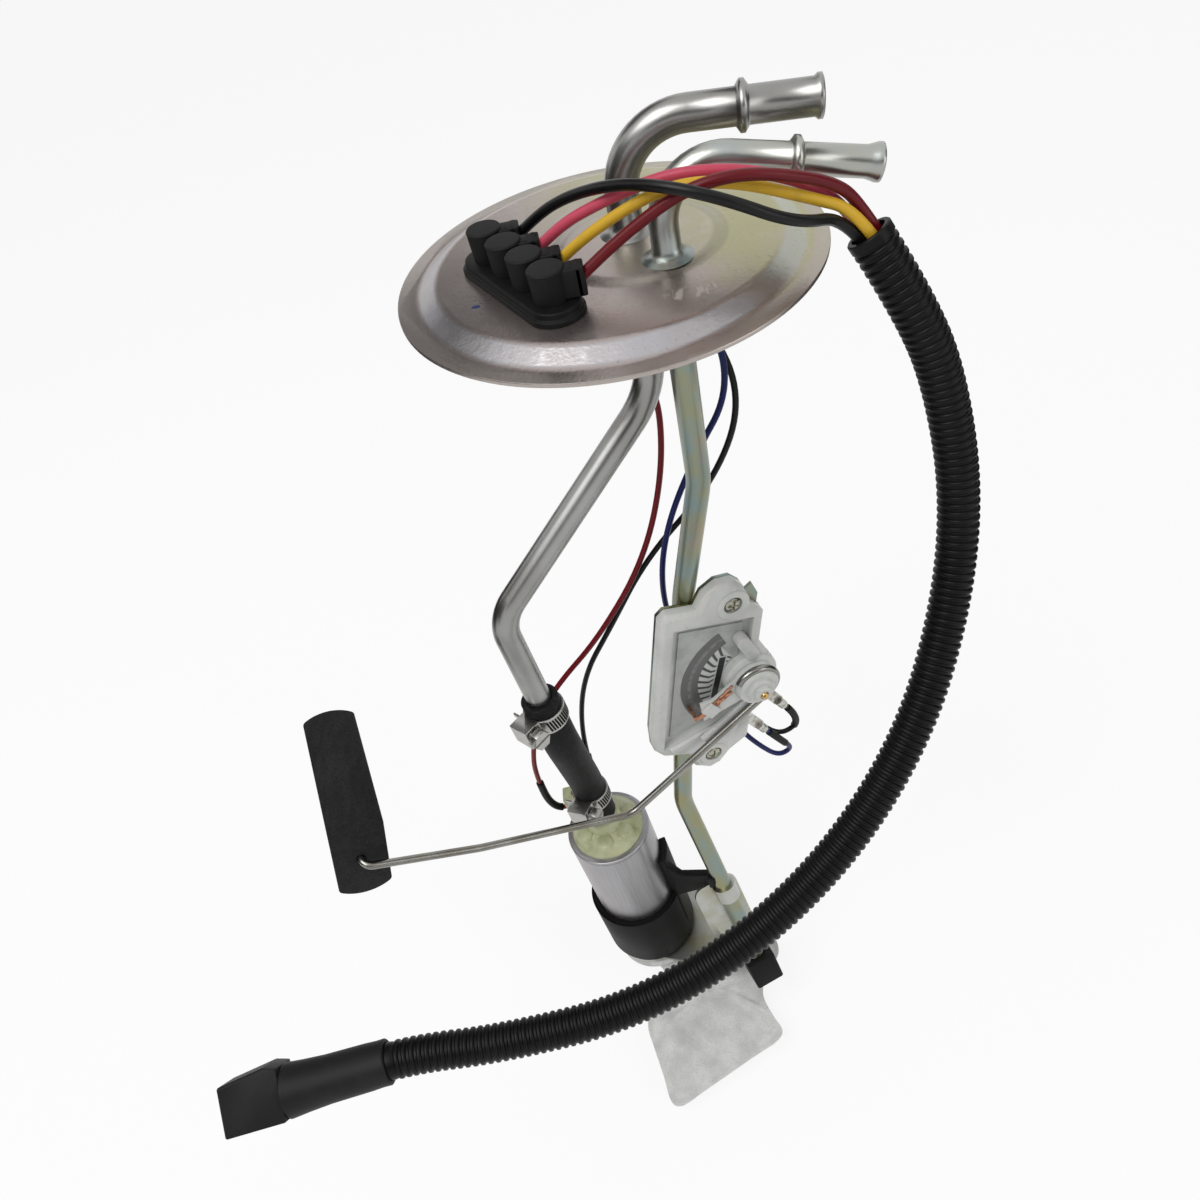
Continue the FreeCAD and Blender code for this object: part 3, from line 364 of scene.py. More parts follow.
post_first = Vector((-32.0, 0.0, 0.0))
post_last = Vector((-16.1, -29.9, 0.0))
post_radius = 4.95
post_foot = 8.2
post_top = 17.0
hood_reach = 9.6
block_black = moulded_black("block_black", 12, 0.5, 0.5)
boot_black = moulded_black("boot_black", 24, 0.6, 0.35)
dressed("terminal_block", "terminal_base", block_black, "black_plastic",
        (0.5, 3, 40.0, lambda point: point.z > 5.0))
posts = [post_first.lerp(post_last, i / 3) for i in range(4)]
for i, post in enumerate(posts):
    boot = turned([(0, post_foot), (post_radius - 0.55, post_foot), (post_radius - 0.4, post_foot + 0.6),
                   (post_radius - 0.1, post_top - 1.0), (post_radius - 0.02, post_top - 0.45),
                   (post_radius - 0.35, post_top - 0.05), (post_radius - 0.8, post_top), (0, post_top - 0.1)])
    block(boot, (2.0, -2.7, post_top - 8.6), (hood_reach, 2.7, post_top - 0.8), 0.45, 3)
    block(boot, (hood_reach - 2.2, -2.7, post_top - 8.5), (hood_reach - 1.0, 2.7, post_top - 0.75), 0.2)
    block(boot, (3.6, -2.0, post_top - 0.95), (hood_reach - 3.0, 2.0, post_top - 0.65), 0.12)
    place = Matrix.Translation(post)
    node = "terminal_boot_%d" % (i + 1)
    piece("boot_%d" % (i + 1), boot, boot_black, "black_rubber", place, stands_for=[node], smooth=35.0)


# Harness leads
# Four stranded leads of 3 mm with a soft PVC cover, black, pink, yellow and dark red. Each leaves the
# hood of its boot, arches over the plate and enters the loom, and runs on inside it to the plug.
lead_diameter = 0.003
lead_routes = {
    "black": [(-0.0234, 0.0, 0.0126), (-0.0165, -0.0025, 0.0185), (-0.007, -0.009, 0.0245),
             (0.0045, -0.022, 0.0305), (0.016, -0.035, 0.033), (0.029, -0.0395, 0.029),
             (0.0458, -0.0376, 0.0184), (0.061, -0.0241, 0.0112), (0.0743, -0.0315, -0.013),
             (0.0834, -0.0342, -0.0364), (0.0883, -0.0425, -0.0718), (0.0826, -0.0578, -0.104),
             (0.0665, -0.0794, -0.135), (0.0383, -0.1003, -0.1632), (0.0019, -0.1159, -0.1855),
             (-0.0385, -0.1272, -0.1954), (-0.082, -0.1312, -0.1949), (-0.111, -0.1316, -0.1917),
             (-0.1226, -0.133, -0.1919)],
    "pink": [(-0.0181, -0.01, 0.0126), (-0.011, -0.0125, 0.0186), (-0.0015, -0.0155, 0.0232),
            (0.0116, -0.02, 0.0283), (0.022, -0.0243, 0.0308), (0.036, -0.0248, 0.0286),
            (0.0518, -0.0243, 0.0217), (0.0625, -0.0213, 0.0112), (0.0758, -0.0287, -0.0129),
            (0.0849, -0.0314, -0.0365), (0.09, -0.0399, -0.0727), (0.0841, -0.0556, -0.1057),
            (0.0678, -0.0775, -0.1373), (0.0393, -0.0987, -0.1658), (0.0025, -0.1144, -0.1883),
            (-0.0384, -0.1259, -0.1983), (-0.0823, -0.1299, -0.1978), (-0.1112, -0.1303, -0.1946),
            (-0.1227, -0.1317, -0.1948)],
    "yellow": [(-0.0128, -0.0199, 0.0126), (-0.0065, -0.0215, 0.0178), (0.006, -0.0242, 0.0246),
              (0.015, -0.027, 0.0286), (0.024, -0.0286, 0.0296), (0.035, -0.0286, 0.0271),
              (0.051, -0.0279, 0.0196), (0.0633, -0.0254, 0.0129), (0.0768, -0.0329, -0.0115),
              (0.0861, -0.0356, -0.0355), (0.091, -0.0441, -0.0713), (0.0853, -0.0596, -0.1039),
              (0.069, -0.0815, -0.1353), (0.0403, -0.1027, -0.164), (0.0033, -0.1186, -0.1867),
              (-0.0378, -0.1301, -0.1967), (-0.0819, -0.1341, -0.1962), (-0.1108, -0.1345, -0.193),
              (-0.1223, -0.1359, -0.1933)],
    "red": [(-0.0075, -0.0299, 0.0126), (0.0005, -0.0296, 0.0182), (0.0136, -0.0306, 0.026),
           (0.0223, -0.0324, 0.0302), (0.033, -0.0326, 0.0312), (0.045, -0.0306, 0.0278),
           (0.058, -0.0258, 0.021), (0.0649, -0.0226, 0.0129), (0.0783, -0.0301, -0.0114),
           (0.0876, -0.0328, -0.0356), (0.0927, -0.0415, -0.0722), (0.0868, -0.0574, -0.1056),
           (0.0703, -0.0796, -0.1376), (0.0413, -0.1011, -0.1666), (0.0039, -0.1171, -0.1895),
           (-0.0377, -0.1288, -0.1996), (-0.0822, -0.1328, -0.1991), (-0.111, -0.1332, -0.1959),
           (-0.1224, -0.1346, -0.1962)]}
lead_tones = {"black": (10, 10, 11), "pink": (194, 74, 96), "yellow": (206, 164, 44), "red": (98, 10, 20)}


def lead_cover(name, colour):
    finish = Finish(name, tone(*colour), 0.34, 0.0, Specular_IOR_Level=0.25)
    smudge = finish.grain(5.0, 3.0)
    worn = tone(*(0.78 * c + 12 for c in colour))
    finish.tint(finish.colour, worn, smudge.rise(0.5, 0.8) * 0.5)
    finish.set("Roughness", 0.26 + smudge * 0.2)
    finish.bump(finish.grain(1.2, 2.0), 0.03)
    return finish


def route_curve(name, points, steps):
    """One smooth curve whose control points are the route, with a number of steps to each."""
    curve = bpy.data.curves.new(name, "CURVE")
    curve.dimensions = "3D"
    curve.resolution_u = steps
    line = curve.splines.new("NURBS")
    line.points.add(len(points) - 1)
    for control, point in zip(line.points, points):
        control.co = (*point, 1.0)
    line.order_u = 3
    line.use_endpoint_u = True
    made = bpy.data.objects.new(name, curve)
    bpy.context.scene.collection.objects.link(made)
    return made


def strand(name, points, diameter, finish, stands_for=()):
    """A round cord along a route."""
    made = route_curve(name, points, 10)
    made.data.bevel_depth = diameter / 2
    made.data.bevel_resolution = 4
    made.data.use_fill_caps = True
    made.data.materials.append(finish.material)
    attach(made, "hanger")
    if stands_for:
        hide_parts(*stands_for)
    return made


for colour, points in lead_routes.items():
    cover = lead_cover("cover_" + colour, lead_tones[colour])
    strand("harness_" + colour, points, lead_diameter, cover,
                           ["lead_" + colour])


# Loom
# A split corrugated tube of black polyethylene, 12.4 mm over its ribs. Its mouth ends in a plain cuff
# and its lower end in a short taped stretch that runs into the collar of the plug.
loom_route = [(0.0662, -0.0252, 0.0061), (0.0763, -0.0308, -0.0122), (0.0855, -0.0335, -0.036),
              (0.0905, -0.042, -0.072), (0.0847, -0.0576, -0.1048), (0.0684, -0.0795, -0.1363),
              (0.0398, -0.1007, -0.1649), (0.0029, -0.1165, -0.1875), (-0.0381, -0.128, -0.1975),
              (-0.0821, -0.132, -0.197), (-0.111, -0.1324, -0.1938), (-0.1225, -0.1338, -0.1941)]
loom_radius = 6.2
loom_bore = 4.8
rib_pitch = 2.5
rib_depth = 0.65
cuff = 3.0
taped = 5.5


def line_of(name, points):
    """Points in millimetres along the curve of a route, close together."""
    guide = route_curve(name, points, 16)
    bpy.context.view_layer.update()
    sampled = guide.evaluated_get(bpy.context.evaluated_depsgraph_get()).to_mesh()
    found = [v.co * 1000 for v in sampled.vertices]
    bpy.data.objects.remove(guide)
    return found


def laid_along(bm, line):
    """Bends a mesh that stands along z so that it follows a line, without twist."""
    ahead = [(b - a).normalized() for a, b in zip(line, line[1:])]
    ahead.append(ahead[-1])
    across = [ahead[0].orthogonal().normalized()]
    for one, other in zip(ahead, ahead[1:]):
        across.append((one.rotation_difference(other) @ across[-1]).normalized())
    reached = [0.0]
    for a, b in zip(line, line[1:]):
        reached.append(reached[-1] + (b - a).length)
    for vert in bm.verts:
        z = min(max(vert.co.z, 0.0), reached[-1])
        i = next((k for k in range(1, len(reached)) if reached[k] >= z), len(reached) - 1)
        share = (z - reached[i - 1]) / (reached[i] - reached[i - 1])
        centre = line[i - 1].lerp(line[i], share)
        side = across[i - 1].lerp(across[i], share).normalized()
        forward = ahead[i - 1].lerp(ahead[i], share).normalized()
        over = forward.cross(side).normalized()
        vert.co = centre + side * vert.co.x + over * vert.co.y
    return bm


loom_line = line_of("loom_guide", loom_route)
loom_length = sum((b - a).length for a, b in zip(loom_line, loom_line[1:]))
valley = loom_radius - rib_depth
profile = [(loom_bore, 0.0), (loom_radius - 0.35, 0.0), (loom_radius, 0.35), (loom_radius, cuff - 0.3),
           (valley, cuff)]
ribs = int((loom_length - cuff - taped) / rib_pitch)
for i in range(ribs):
    start = cuff + i * rib_pitch
    profile += [(valley, start + 0.5), (loom_radius - 0.16, start + 0.75), (loom_radius, start + 1.05),
                (loom_radius, start + 1.7), (loom_radius - 0.16, start + 2.0), (valley, start + 2.25)]
tape_start = cuff + ribs * rib_pitch + 0.4
profile += [(loom_radius - 0.3, tape_start + 0.3), (loom_radius - 0.15, tape_start + 2.0),
            (loom_radius - 0.3, loom_length)]
inner_steps = 90
profile += [(loom_bore, loom_length * (1 - i / inner_steps)) for i in range(inner_steps + 1)]
loom_black = moulded_black("loom_black", 8, 0.4, 0.8)
loom = piece("loom_tube", laid_along(turned(profile, 26), loom_line), loom_black, "loom_plastic",
             stands_for=["loom"])


# Plug
# The round rubber boot grips the loom's end with a collar, and widens to the housing with the four
# contact cavities and a sprung latch. Both are moulded black plastic.
plug_end = Vector((-122.5, -133.8, -194.05))
plug_ahead = plug_end - Vector((-111.0, -132.4, -193.8))


def stood(origin, up, x_hint):
    """The frame at origin whose z is up and whose x leans to a hint."""
    z = Vector(up).normalized()
    x = (Vector(x_hint) - z * z.dot(Vector(x_hint))).normalized()
    turn = Matrix((x, z.cross(x), z)).transposed()
    return Matrix.Translation(origin) @ turn.to_4x4()


plug_place = stood(plug_end, plug_ahead, (0, -0.55, 0.83))
boot_length = 32.0
plug_black = moulded_black("plug_black", 28, 0.5, 0.6)
grip = turned([(loom_radius, -3.0), (7.0, -3.0), (7.35, -2.6), (7.3, 0.2), (7.5, 4.0), (7.7, 18.0),
               (8.2, 25.5), (8.8, boot_length - 0.4), (8.5, boot_length), (0, boot_length), (0, 0.2),
               (loom_radius, 0.2), (loom_radius, -3.0)])
plug_grip = piece("plug_grip", grip, plug_black, "black_rubber", plug_place, stands_for=["plug_boot"])
plug_housing = dressed("plug_housing", "plug_body", plug_black, "black_plastic", (0.35, 2, 50.0))
tinned = Finish("tinned", tone(190, 188, 182), 0.3, 1.0)
tinned.tint(tone(196, 194, 188), tone(150, 146, 138), tinned.grain(2.0, 3.0).rise(0.45, 0.7))


def refinished(node, finish):
    """A CAD node that is shown as it is, in a finish of its own."""
    shown = frame["nodes"][node]
    shown.data.materials.clear()
    shown.data.materials.append(finish.material)
    return shown


contacts = [refinished("plug_contact_%d" % (i + 1), tinned) for i in range(4)]


# Sender body
# A nylon case with large soft edges, riveted and screwed to a zinc plate that is welded to the return
# tube. Its pocket holds the resistor card, its boss the pivot, and its two guides the lead tabs.
sender_normal = Vector((0.29, -0.957, 0.0)).normalized()
sender_lean = math.radians(11.3)
sender_up = (Vector((0, 0, math.cos(sender_lean)))
             + Vector((0.957, 0.29, 0.0)).normalized() * math.sin(sender_lean)).normalized()
sender_right = sender_up.cross(sender_normal)
sender_turn = Matrix((sender_right, sender_up, sender_normal)).transposed().to_4x4()
sender_place = Matrix.Translation((28.1, -17.0, -180.5)) @ sender_turn
pivot_at = (-5.5, 10.8)
hub_place = Matrix.Translation(sender_place @ Vector((*pivot_at, 0.0))) @ sender_turn


def nylon():
    finish = Finish("white_nylon", tone(214, 215, 214), 0.38, 0.0, Coat_Weight=0.2, Subsurface_Weight=0.12)
    finish.shader.inputs["Subsurface Scale"].default_value = 0.003
    milky = finish.grain(16.0, 3.0)
    marks = finish.grain(1.8, 4.0)
    colour = finish.mix(tone(202, 203, 199), tone(178, 180, 177), milky.rise(0.35, 0.8))
    finish.tint(colour, tone(150, 150, 148), marks.rise(0.6, 0.74) * 0.3)
    finish.set("Roughness", 0.3 + milky * 0.14 + marks * 0.1)
    finish.bump(milky + marks * 0.3, 0.08)
    return finish


white_nylon = nylon()
dressed("sender_bracket", "sender_plate", yellow_zinc, "yellow_zinc")
dressed("sender_case", "sender_body", white_nylon, "white_nylon", (0.35, 2, 35.0), smooth=50.0)


# Resistor card
# A pale ceramic card with a printed resistance track. Silver traces fan in from the track to the black
# trimming bar. The maker's code on the real card is left off.
def card_face():
    finish = Finish("card_white", tone(176, 178, 176), 0.5)
    x, y, z = finish.axes(finish.local(hub_place))
    radius = (x * x + y * y).math("SQRT")
    angle = y.math("ARCTAN2", x) * (180 / math.pi)
    angle = angle + 360 * (1 - angle.rise(-0.5, 0.5))
    mottled = finish.grain(7.0, 3.0)
    colour = finish.mix(tone(174, 176, 174), tone(154, 157, 155), mottled.rise(0.4, 0.7))
    fan = radius.band(12.2, 21.4, 0.3) * angle.band(128.0, 214.0, 1.0)
    kink = (radius - 16.5).math("ABSOLUTE") * 1.3
    lines = ((angle + kink) / 9.6).math("FRACT").band(0.34, 0.9, 0.05)
    colour = finish.mix(colour, finish.mix(tone(70, 72, 70), tone(196, 198, 195), lines), fan)
    along = Vector((-1.8, -21.1)).normalized()
    start = Vector((-17.1 - pivot_at[0], 21.5 - pivot_at[1]))
    down_bar = (x - start.x) * along.x + (y - start.y) * along.y
    off_bar = ((x - start.x) * -along.y + (y - start.y) * along.x).math("ABSOLUTE")
    bar = (1 - off_bar.rise(1.25, 1.45)) * down_bar.band(0.0, 21.2, 0.2)
    clear = (1 - off_bar.rise(1.9, 2.1)) * down_bar.band(-0.8, 22.0, 0.2)
    colour = finish.mix(colour, tone(190, 192, 190), clear * 0.8)
    finish.tint(colour, tone(18, 18, 19), bar)
    finish.set("Roughness", 0.42 + mottled * 0.14 - fan * lines * 0.12)
    finish.bump(fan * lines + bar + mottled * 0.2, 0.05)
    return finish


def carbon_track():
    finish = Finish("carbon_ink", tone(84, 86, 84), 0.5)
    x, y, z = finish.axes(finish.local(hub_place))
    radius = (x * x + y * y).math("SQRT")
    worn = radius.band(24.3, 25.3, 0.5) * finish.grain(2.0, 3.0).rise(0.3, 0.6)
    finish.tint(tone(94, 95, 94), tone(120, 120, 117), worn)
    finish.set("Roughness", 0.52 - worn * 0.15)
    finish.bump(finish.grain(0.6, 2.0), 0.02)
    return finish


dressed("resistor_card", "sender_card", card_face(), "card_white")
dressed("resistor_track", "sender_resistor", carbon_track(), "carbon_ink")


# Sender hardware
# Two cross-head screws, a brass pivot pin that is staked over the hub, and two tinned tabs crimped on
# the leads. They ride on the case, and only the hub turns.
def stained_metal(name, colour, roughness, stains, tones, onset, gloss):
    """Bare metal with stains that are less glossy than the clean tone."""
    finish = Finish(name, tone(*colour), roughness, 1.0)
    patches = finish.grain(*stains)
    finish.tint(tone(*tones[0]), tone(*tones[1]), patches.rise(*onset))
    finish.set("Roughness", gloss[0] + patches * gloss[1])
    return finish


screw_steel = stained_metal("screw_steel", (150, 146, 128), 0.3, (1.6, 4.0), ((172, 170, 156), (96, 92, 76)),
                            (0.42, 0.68), (0.22, 0.25))
pin_brass = stained_metal("brass", (196, 164, 96), 0.28, (1.4, 3.0), ((204, 172, 108), (140, 104, 60)),
                          (0.45, 0.7), (0.2, 0.22))
for level in ("upper", "lower"):
    dressed("case_screw_" + level, "sender_screw_" + level, screw_steel, "screw_steel", (0.08, 1, 50.0))
dressed("pivot_pin", "sender_pin", pin_brass, "brass")
for name in ("one", "two"):
    dressed("lead_tab_" + name, "sender_tab_" + name, tinned, "tin")


# Hub and wiper
# The nylon hub turns on the pin and holds the arm in its groove. Two wavy copper fingers run from it
# to a white block, and the riveted tip behind the block rubs along the track.
def strip(bm, a, b, width, low, thickness, waves=0, depth=0.0):
    """A flat sheet strip from a to b, which ripples up and down a few times."""
    a = Vector((*a, 0.0))
    b = Vector((*b, 0.0))
    side = Vector((a.y - b.y, b.x - a.x, 0.0)).normalized() * (width / 2)
    made = bmesh.ops.create_grid(bm, x_segments=max(1, waves * 8), y_segments=1, size=0.5)["verts"]
    for vert in made:
        share = vert.co.x + 0.5
        height = low + thickness + depth * math.sin(share * waves * math.tau)
        vert.co = a.lerp(b, share) + side * (2 * vert.co.y) + Vector((0, 0, height))
    faces = list({f for v in made for f in v.link_faces})
    grown = bmesh.ops.extrude_face_region(bm, geom=faces)["geom"]
    lower = [g for g in grown if isinstance(g, bmesh.types.BMVert)]
    bmesh.ops.translate(bm, vec=(0, 0, -thickness), verts=lower)
    return bm


wiper_copper = stained_metal("copper", (172, 122, 94), 0.3, (1.2, 3.0), ((180, 130, 102), (122, 76, 54)),
                             (0.45, 0.7), (0.22, 0.2))
dressed("swing_hub", "sender_hub", white_nylon, "white_nylon", (0.2, 2, 40.0), body="float_swing",
        smooth=50.0)
fingers = bmesh.new()
strip(fingers, (-10.1, -1.5), (-17.6, -8.0), 1.7, 4.15, 0.35, 3, 0.14)
strip(fingers, (-10.2, 1.8), (-18.0, -6.4), 1.3, 4.15, 0.35, 3, 0.14)
strip(fingers, (-19.6, -9.7), (-23.6, -11.7), 2.4, 4.0, 0.4)
strip(fingers, (-23.5, -11.6), (-24.6, -12.2), 2.3, -2.3, 6.6)
piece("wiper_fingers", fingers, wiper_copper, "copper", hub_place, "float_swing", ["wiper_contact"])
block_turn = Matrix.Translation((-18.1, -8.9, 0)) @ Matrix.Rotation(math.radians(43.0), 4, "Z")
wiper_block = block(bmesh.new(), (-2.7, -3.4, 3.95), (2.7, 3.4, 5.2), 0.3, 3)
bmesh.ops.transform(wiper_block, matrix=block_turn, verts=wiper_block.verts)
piece("wiper_block", wiper_block, white_nylon, "white_nylon", hub_place, "float_swing", ["wiper_contact"])


# Float arm
# One length of 3 mm spring steel wire, looped in the hub's groove, cranked twice on its way out and
# bent again to pass through the float. It is bright drawn and left bare.
def spring_wire():
    finish = Finish("bright_steel", tone(136, 134, 128), 0.2, 1.0)
    oxide = finish.grain(14.0, 2.0)
    specks = finish.grain(0.8, 3.0)
    colour = finish.mix(tone(142, 141, 136), tone(118, 115, 106), oxide.rise(0.4, 0.75))
    finish.tint(colour, tone(88, 82, 70), specks.rise(0.62, 0.78) * 0.25)
    finish.set("Roughness", 0.2 + oxide * 0.1)
    return finish


dressed("swing_arm", "float_arm", spring_wire(), "bright_steel", body="float_swing", smooth=60.0)


# Float
# A block of closed-cell nitrile foam, 20 x 44 x 56 mm, cut flat on two sides and rounded on the others.
# Its cut skin is dull black with a fine grain, and the wire passes through it.
def foam():
    finish = Finish("foam_black", tone(24, 24, 25), 0.78, Specular_IOR_Level=0.2)
    cells = finish.node("ShaderNodeTexVoronoi", {}, {"Vector": finish.place, "Scale": 1400.0})
    cloudy = finish.grain(12.0, 4.0)
    streaks = finish.grain(2.5, 3.0, finish.stretched(finish.place, (1.0, 0.2, 1.0)))
    colour = finish.mix(tone(24, 24, 25), tone(38, 38, 39), (cloudy * 0.6 + streaks * 0.5).rise(0.4, 0.75))
    finish.tint(colour, tone(8, 8, 9), cells.rise(0.5, 0.75) * 0.5)
    finish.set("Roughness", 0.66 + cloudy * 0.2)
    finish.bump(cells * -1.0 + cloudy * 0.5, 0.08)
    return finish


dressed("float_foam", "float", foam(), "foam_black", (0.6, 3, 50.0), body="float_swing", smooth=50.0)


# Pump can
# A drawn steel can, 38 mm across, with its edge rolled over the cap at the top. It is bare satin metal
# with fine lines along its length, and the cup hides its lower third.
pump_axis = Vector((-8.5, 2.5, 102.0))
pump_place = stood((-47.0, -16.0, -261.0), pump_axis, (1, 0, 0))


def satin_can():
    finish = Finish("can_steel", tone(158, 157, 159), 0.34, 1.0)
    local = finish.local(pump_place)
    x, y, z = finish.axes(local)
    lines = finish.grain(450.0, 3.0, finish.stretched(local, (1.0, 1.0, 0.02)))
    smear = finish.grain(16.0, 3.0)
    colour = finish.mix(tone(156, 155, 157), tone(168, 167, 169), lines.rise(0.35, 0.65))
    colour = finish.mix(colour, tone(162, 146, 144), (smear * 0.6 - x * 0.02 + 0.1).rise(0.4, 0.8) * 0.35)
    # Painted shade: a soft dark ring just under the rolled edge at the top.
    colour = finish.mix(colour, tone(96, 94, 94), z.band(-1.7, -1.1, 0.25) * 0.5)
    finish.set("Base Color", colour)
    finish.set("Roughness", 0.27 + smear * 0.16 + lines * 0.06)
    finish.bump(lines + smear, 0.02)
    return finish


dressed("can", "pump_can", satin_can(), "can_steel", smooth=50.0)


# Pump cap and terminals
# A cap of natural glass-filled acetal, cream with a green cast. It carries four soft lobes, the outlet,
# a tower for the positive pin and a low cover for the negative one.
def acetal():
    finish = Finish("cap_plastic", tone(196, 198, 160), 0.42, 0.0, Coat_Weight=0.15)
    cloudy = finish.grain(9.0, 3.0)
    fibres = finish.grain(1.3, 4.0)
    colour = finish.mix(tone(186, 189, 152), tone(150, 157, 112), cloudy.rise(0.35, 0.75))
    finish.tint(colour, tone(202, 204, 180), fibres.rise(0.55, 0.75) * 0.3)
    finish.set("Roughness", 0.34 + cloudy * 0.14)
    finish.bump(fibres * 0.4 + cloudy, 0.05)
    return finish


dressed("cap", "pump_cap", acetal(), "cap_plastic", (0.15, 1, 60.0), smooth=50.0)
for pole in ("pos", "neg"):
    dressed("cap_pin_" + pole, "pump_terminal_" + pole, wiper_copper, "copper")


# Pump holder
# A moulded rubber cup that takes the lower end of the can, with a lug up one side and a web that bears
# on the return tube. It is soft black rubber with a mould line and a dusty bloom.
cup_rubber = moulded_black("cup_rubber", 13, 0.55, 0.6)
dressed("pump_cup", "pump_holder", cup_rubber, "black_rubber", (0.4, 2, 40.0), smooth=45.0)


# Foot bracket and end cap
# A leg of pressed steel hangs from the return tube and turns under the cup as a round shelf. It is
# yellow passivated. A black rubber block closes the lower end of the tube.
def shelf_zinc_painted_reflection():
    # The lighter grey base is a painted reflection of the bright room; the olive clouds are its passivation
    # and the dark specks are stains.
    finish = Finish("shelf_zinc_painted_reflection", tone(168, 168, 160), 0.32, 0.95)
    clouds = finish.grain(15.0, 3.0)
    specks = finish.grain(1.2, 3.0)
    colour = finish.mix(tone(178, 179, 174), tone(150, 148, 116), (clouds * 1.4 - 0.35).rise(0.25, 0.8))
    finish.tint(colour, tone(126, 124, 112), specks.rise(0.6, 0.75) * 0.3)
    finish.set("Roughness", 0.25 + clouds * 0.16)
    return finish


dressed("bracket", "foot_bracket", shelf_zinc_painted_reflection(), "yellow_zinc")
dressed("end_block", "tube_end_cap", cup_rubber, "black_rubber", (0.3, 2, 50.0))


# Strainer neck
# A white moulded ring with a socket that is pushed on the inlet of the pump. The sock is welded to the
# underside of its flange.
neck_plastic = Finish("neck_plastic", tone(206, 207, 204), 0.4)
neck_plastic.tint(tone(212, 213, 210), tone(182, 184, 182), neck_plastic.grain(8.0, 3.0).rise(0.4, 0.7))
neck_plastic.bump(neck_plastic.grain(2.0, 3.0), 0.04)
dressed("neck", "strainer_neck", neck_plastic, "neck_plastic", (0.2, 2, 50.0))


# Strainer sock
# Two layers of white needled felt, welded round their edge into a flat bag about 8 mm thick. The welded
# hem is thin and glazed, and the middle is puffed and slightly rumpled.
sock_outline = [(-4.6, -83.0), (-6.8, -71.0), (-9.8, -57.0), (-11.6, -45.0), (-6.5, -31.0), (0.0, -20.0),
                (-8.5, -9.0), (-16.5, 1.5), (-13.5, 13.5), (0.0, 20.5), (18.0, 20.8), (36.0, 14.0),
                (49.0, 5.5), (57.5, -7.5), (60.0, -21.0), (52.0, -31.0), (47.8, -41.0), (50.5, -52.0),
                (53.6, -60.0), (49.5, -65.0), (38.0, -69.8), (25.2, -75.4), (11.0, -81.6), (0.5, -86.0)]
sock_top = -105.0
sock_thick = 8.0
hem_half = 0.6
puff_frames = 20
puff_most = 0.0013
sock_rings = (0.96, 0.93, 0.9, 0.86, 0.81, 0.75, 0.68, 0.6, 0.51, 0.41, 0.3, 0.18, 0.07)


def felt():
    finish = Finish("felt", tone(214, 214, 212), 0.85)
    fibres = finish.grain(0.7, 5.0)
    tufts = finish.grain(3.2, 3.0)
    soft = finish.grain(13.0, 3.0)
    colour = finish.mix(tone(222, 222, 220), tone(196, 197, 196), soft.rise(0.35, 0.75))
    finish.tint(colour, tone(168, 169, 168), fibres.rise(0.52, 0.75) * 0.5)
    finish.set("Roughness", 0.78 + fibres * 0.18)
    finish.bump(fibres + tufts * 1.4, 0.22)
    return finish


def closed_curve(points, steps):
    """A smooth closed curve through the points, as short edges."""
    found = []
    count = len(points)
    for i in range(count):
        a, b, c, d = (Vector(points[(i + k) % count]) for k in (-1, 0, 1, 2))
        for k in range(steps):
            t = k / steps
            found.append(b + (c - a) * (t / 2) + (2 * a - 5 * b + 4 * c - d) * (t * t / 2)
                         + (3 * b - a - 3 * c + d) * (t * t * t / 2))
    return found


def felt_bag():
    """The welded bag at rest: a hem all round and a low crown on both sides."""
    bm = bmesh.new()
    outer = closed_curve(sock_outline, 6)
    centre = sum(outer, Vector((0, 0))) / len(outer)
    for side in (1, -1):
        ring = [bm.verts.new((p.x, p.y, side * hem_half)) for p in outer]
        edges = [bm.edges.new((ring[i - 1], ring[i])) for i in range(len(ring))]
        before = 1.0
        for share in sock_rings:
            grown = bmesh.ops.extrude_edge_only(bm, edges=edges)["geom"]
            verts = [g for g in grown if isinstance(g, bmesh.types.BMVert)]
            edges = [g for g in grown if isinstance(g, bmesh.types.BMEdge)]
            crown = min(1.0, max(0.0, (0.93 - share) / 0.3)) ** 0.6
            rise = hem_half + (sock_thick / 2 - 1.2 - hem_half) * crown
            for vert in verts:
                flat = Vector((vert.co.x, vert.co.y)) - centre
                flat = flat * (share / before)
                vert.co = (centre.x + flat.x, centre.y + flat.y, side * rise)
            before = share
        bmesh.ops.contextual_create(bm, geom=edges)
    rims = [e for e in bm.edges if e.is_boundary]
    bmesh.ops.bridge_loops(bm, edges=rims)
    bmesh.ops.recalc_face_normals(bm, faces=bm.faces)
    return bm


def puffed(made, pinned_from, cap):
    """Lets the cloth of a closed bag swell a little, holding its hem, and keeps the result."""
    rest = [v.co.copy() for v in made.data.vertices]
    hem = made.vertex_groups.new(name="hem")
    hem.add([v.index for v in made.data.vertices if pinned_from(v.co)], 1.0, "REPLACE")
    cloth = made.modifiers.new("cloth", "CLOTH")
    cloth.settings.vertex_group_mass = "hem"
    cloth.settings.quality = 6
    cloth.settings.mass = 0.15
    cloth.settings.tension_stiffness = 12.0
    cloth.settings.compression_stiffness = 12.0
    cloth.settings.bending_stiffness = 0.4
    cloth.settings.shrink_min = -0.03
    cloth.settings.use_pressure = True
    cloth.settings.uniform_pressure_force = 4.0
    cloth.settings.effector_weights.gravity = 0.0
    cloth.point_cache.frame_start = 1
    cloth.point_cache.frame_end = puff_frames
    for step in range(1, puff_frames + 1):
        bpy.context.scene.frame_set(step)
    swollen = made.evaluated_get(bpy.context.evaluated_depsgraph_get()).to_mesh()
    moved = [v.co.copy() for v in swollen.vertices]
    made.modifiers.remove(cloth)
    bpy.context.scene.frame_set(1)
    for vert, before, after in zip(made.data.vertices, rest, moved):
        shift = after - before
        vert.co = before + shift * min(1.0, cap / max(shift.length, 1e-9))
    made.data.update()


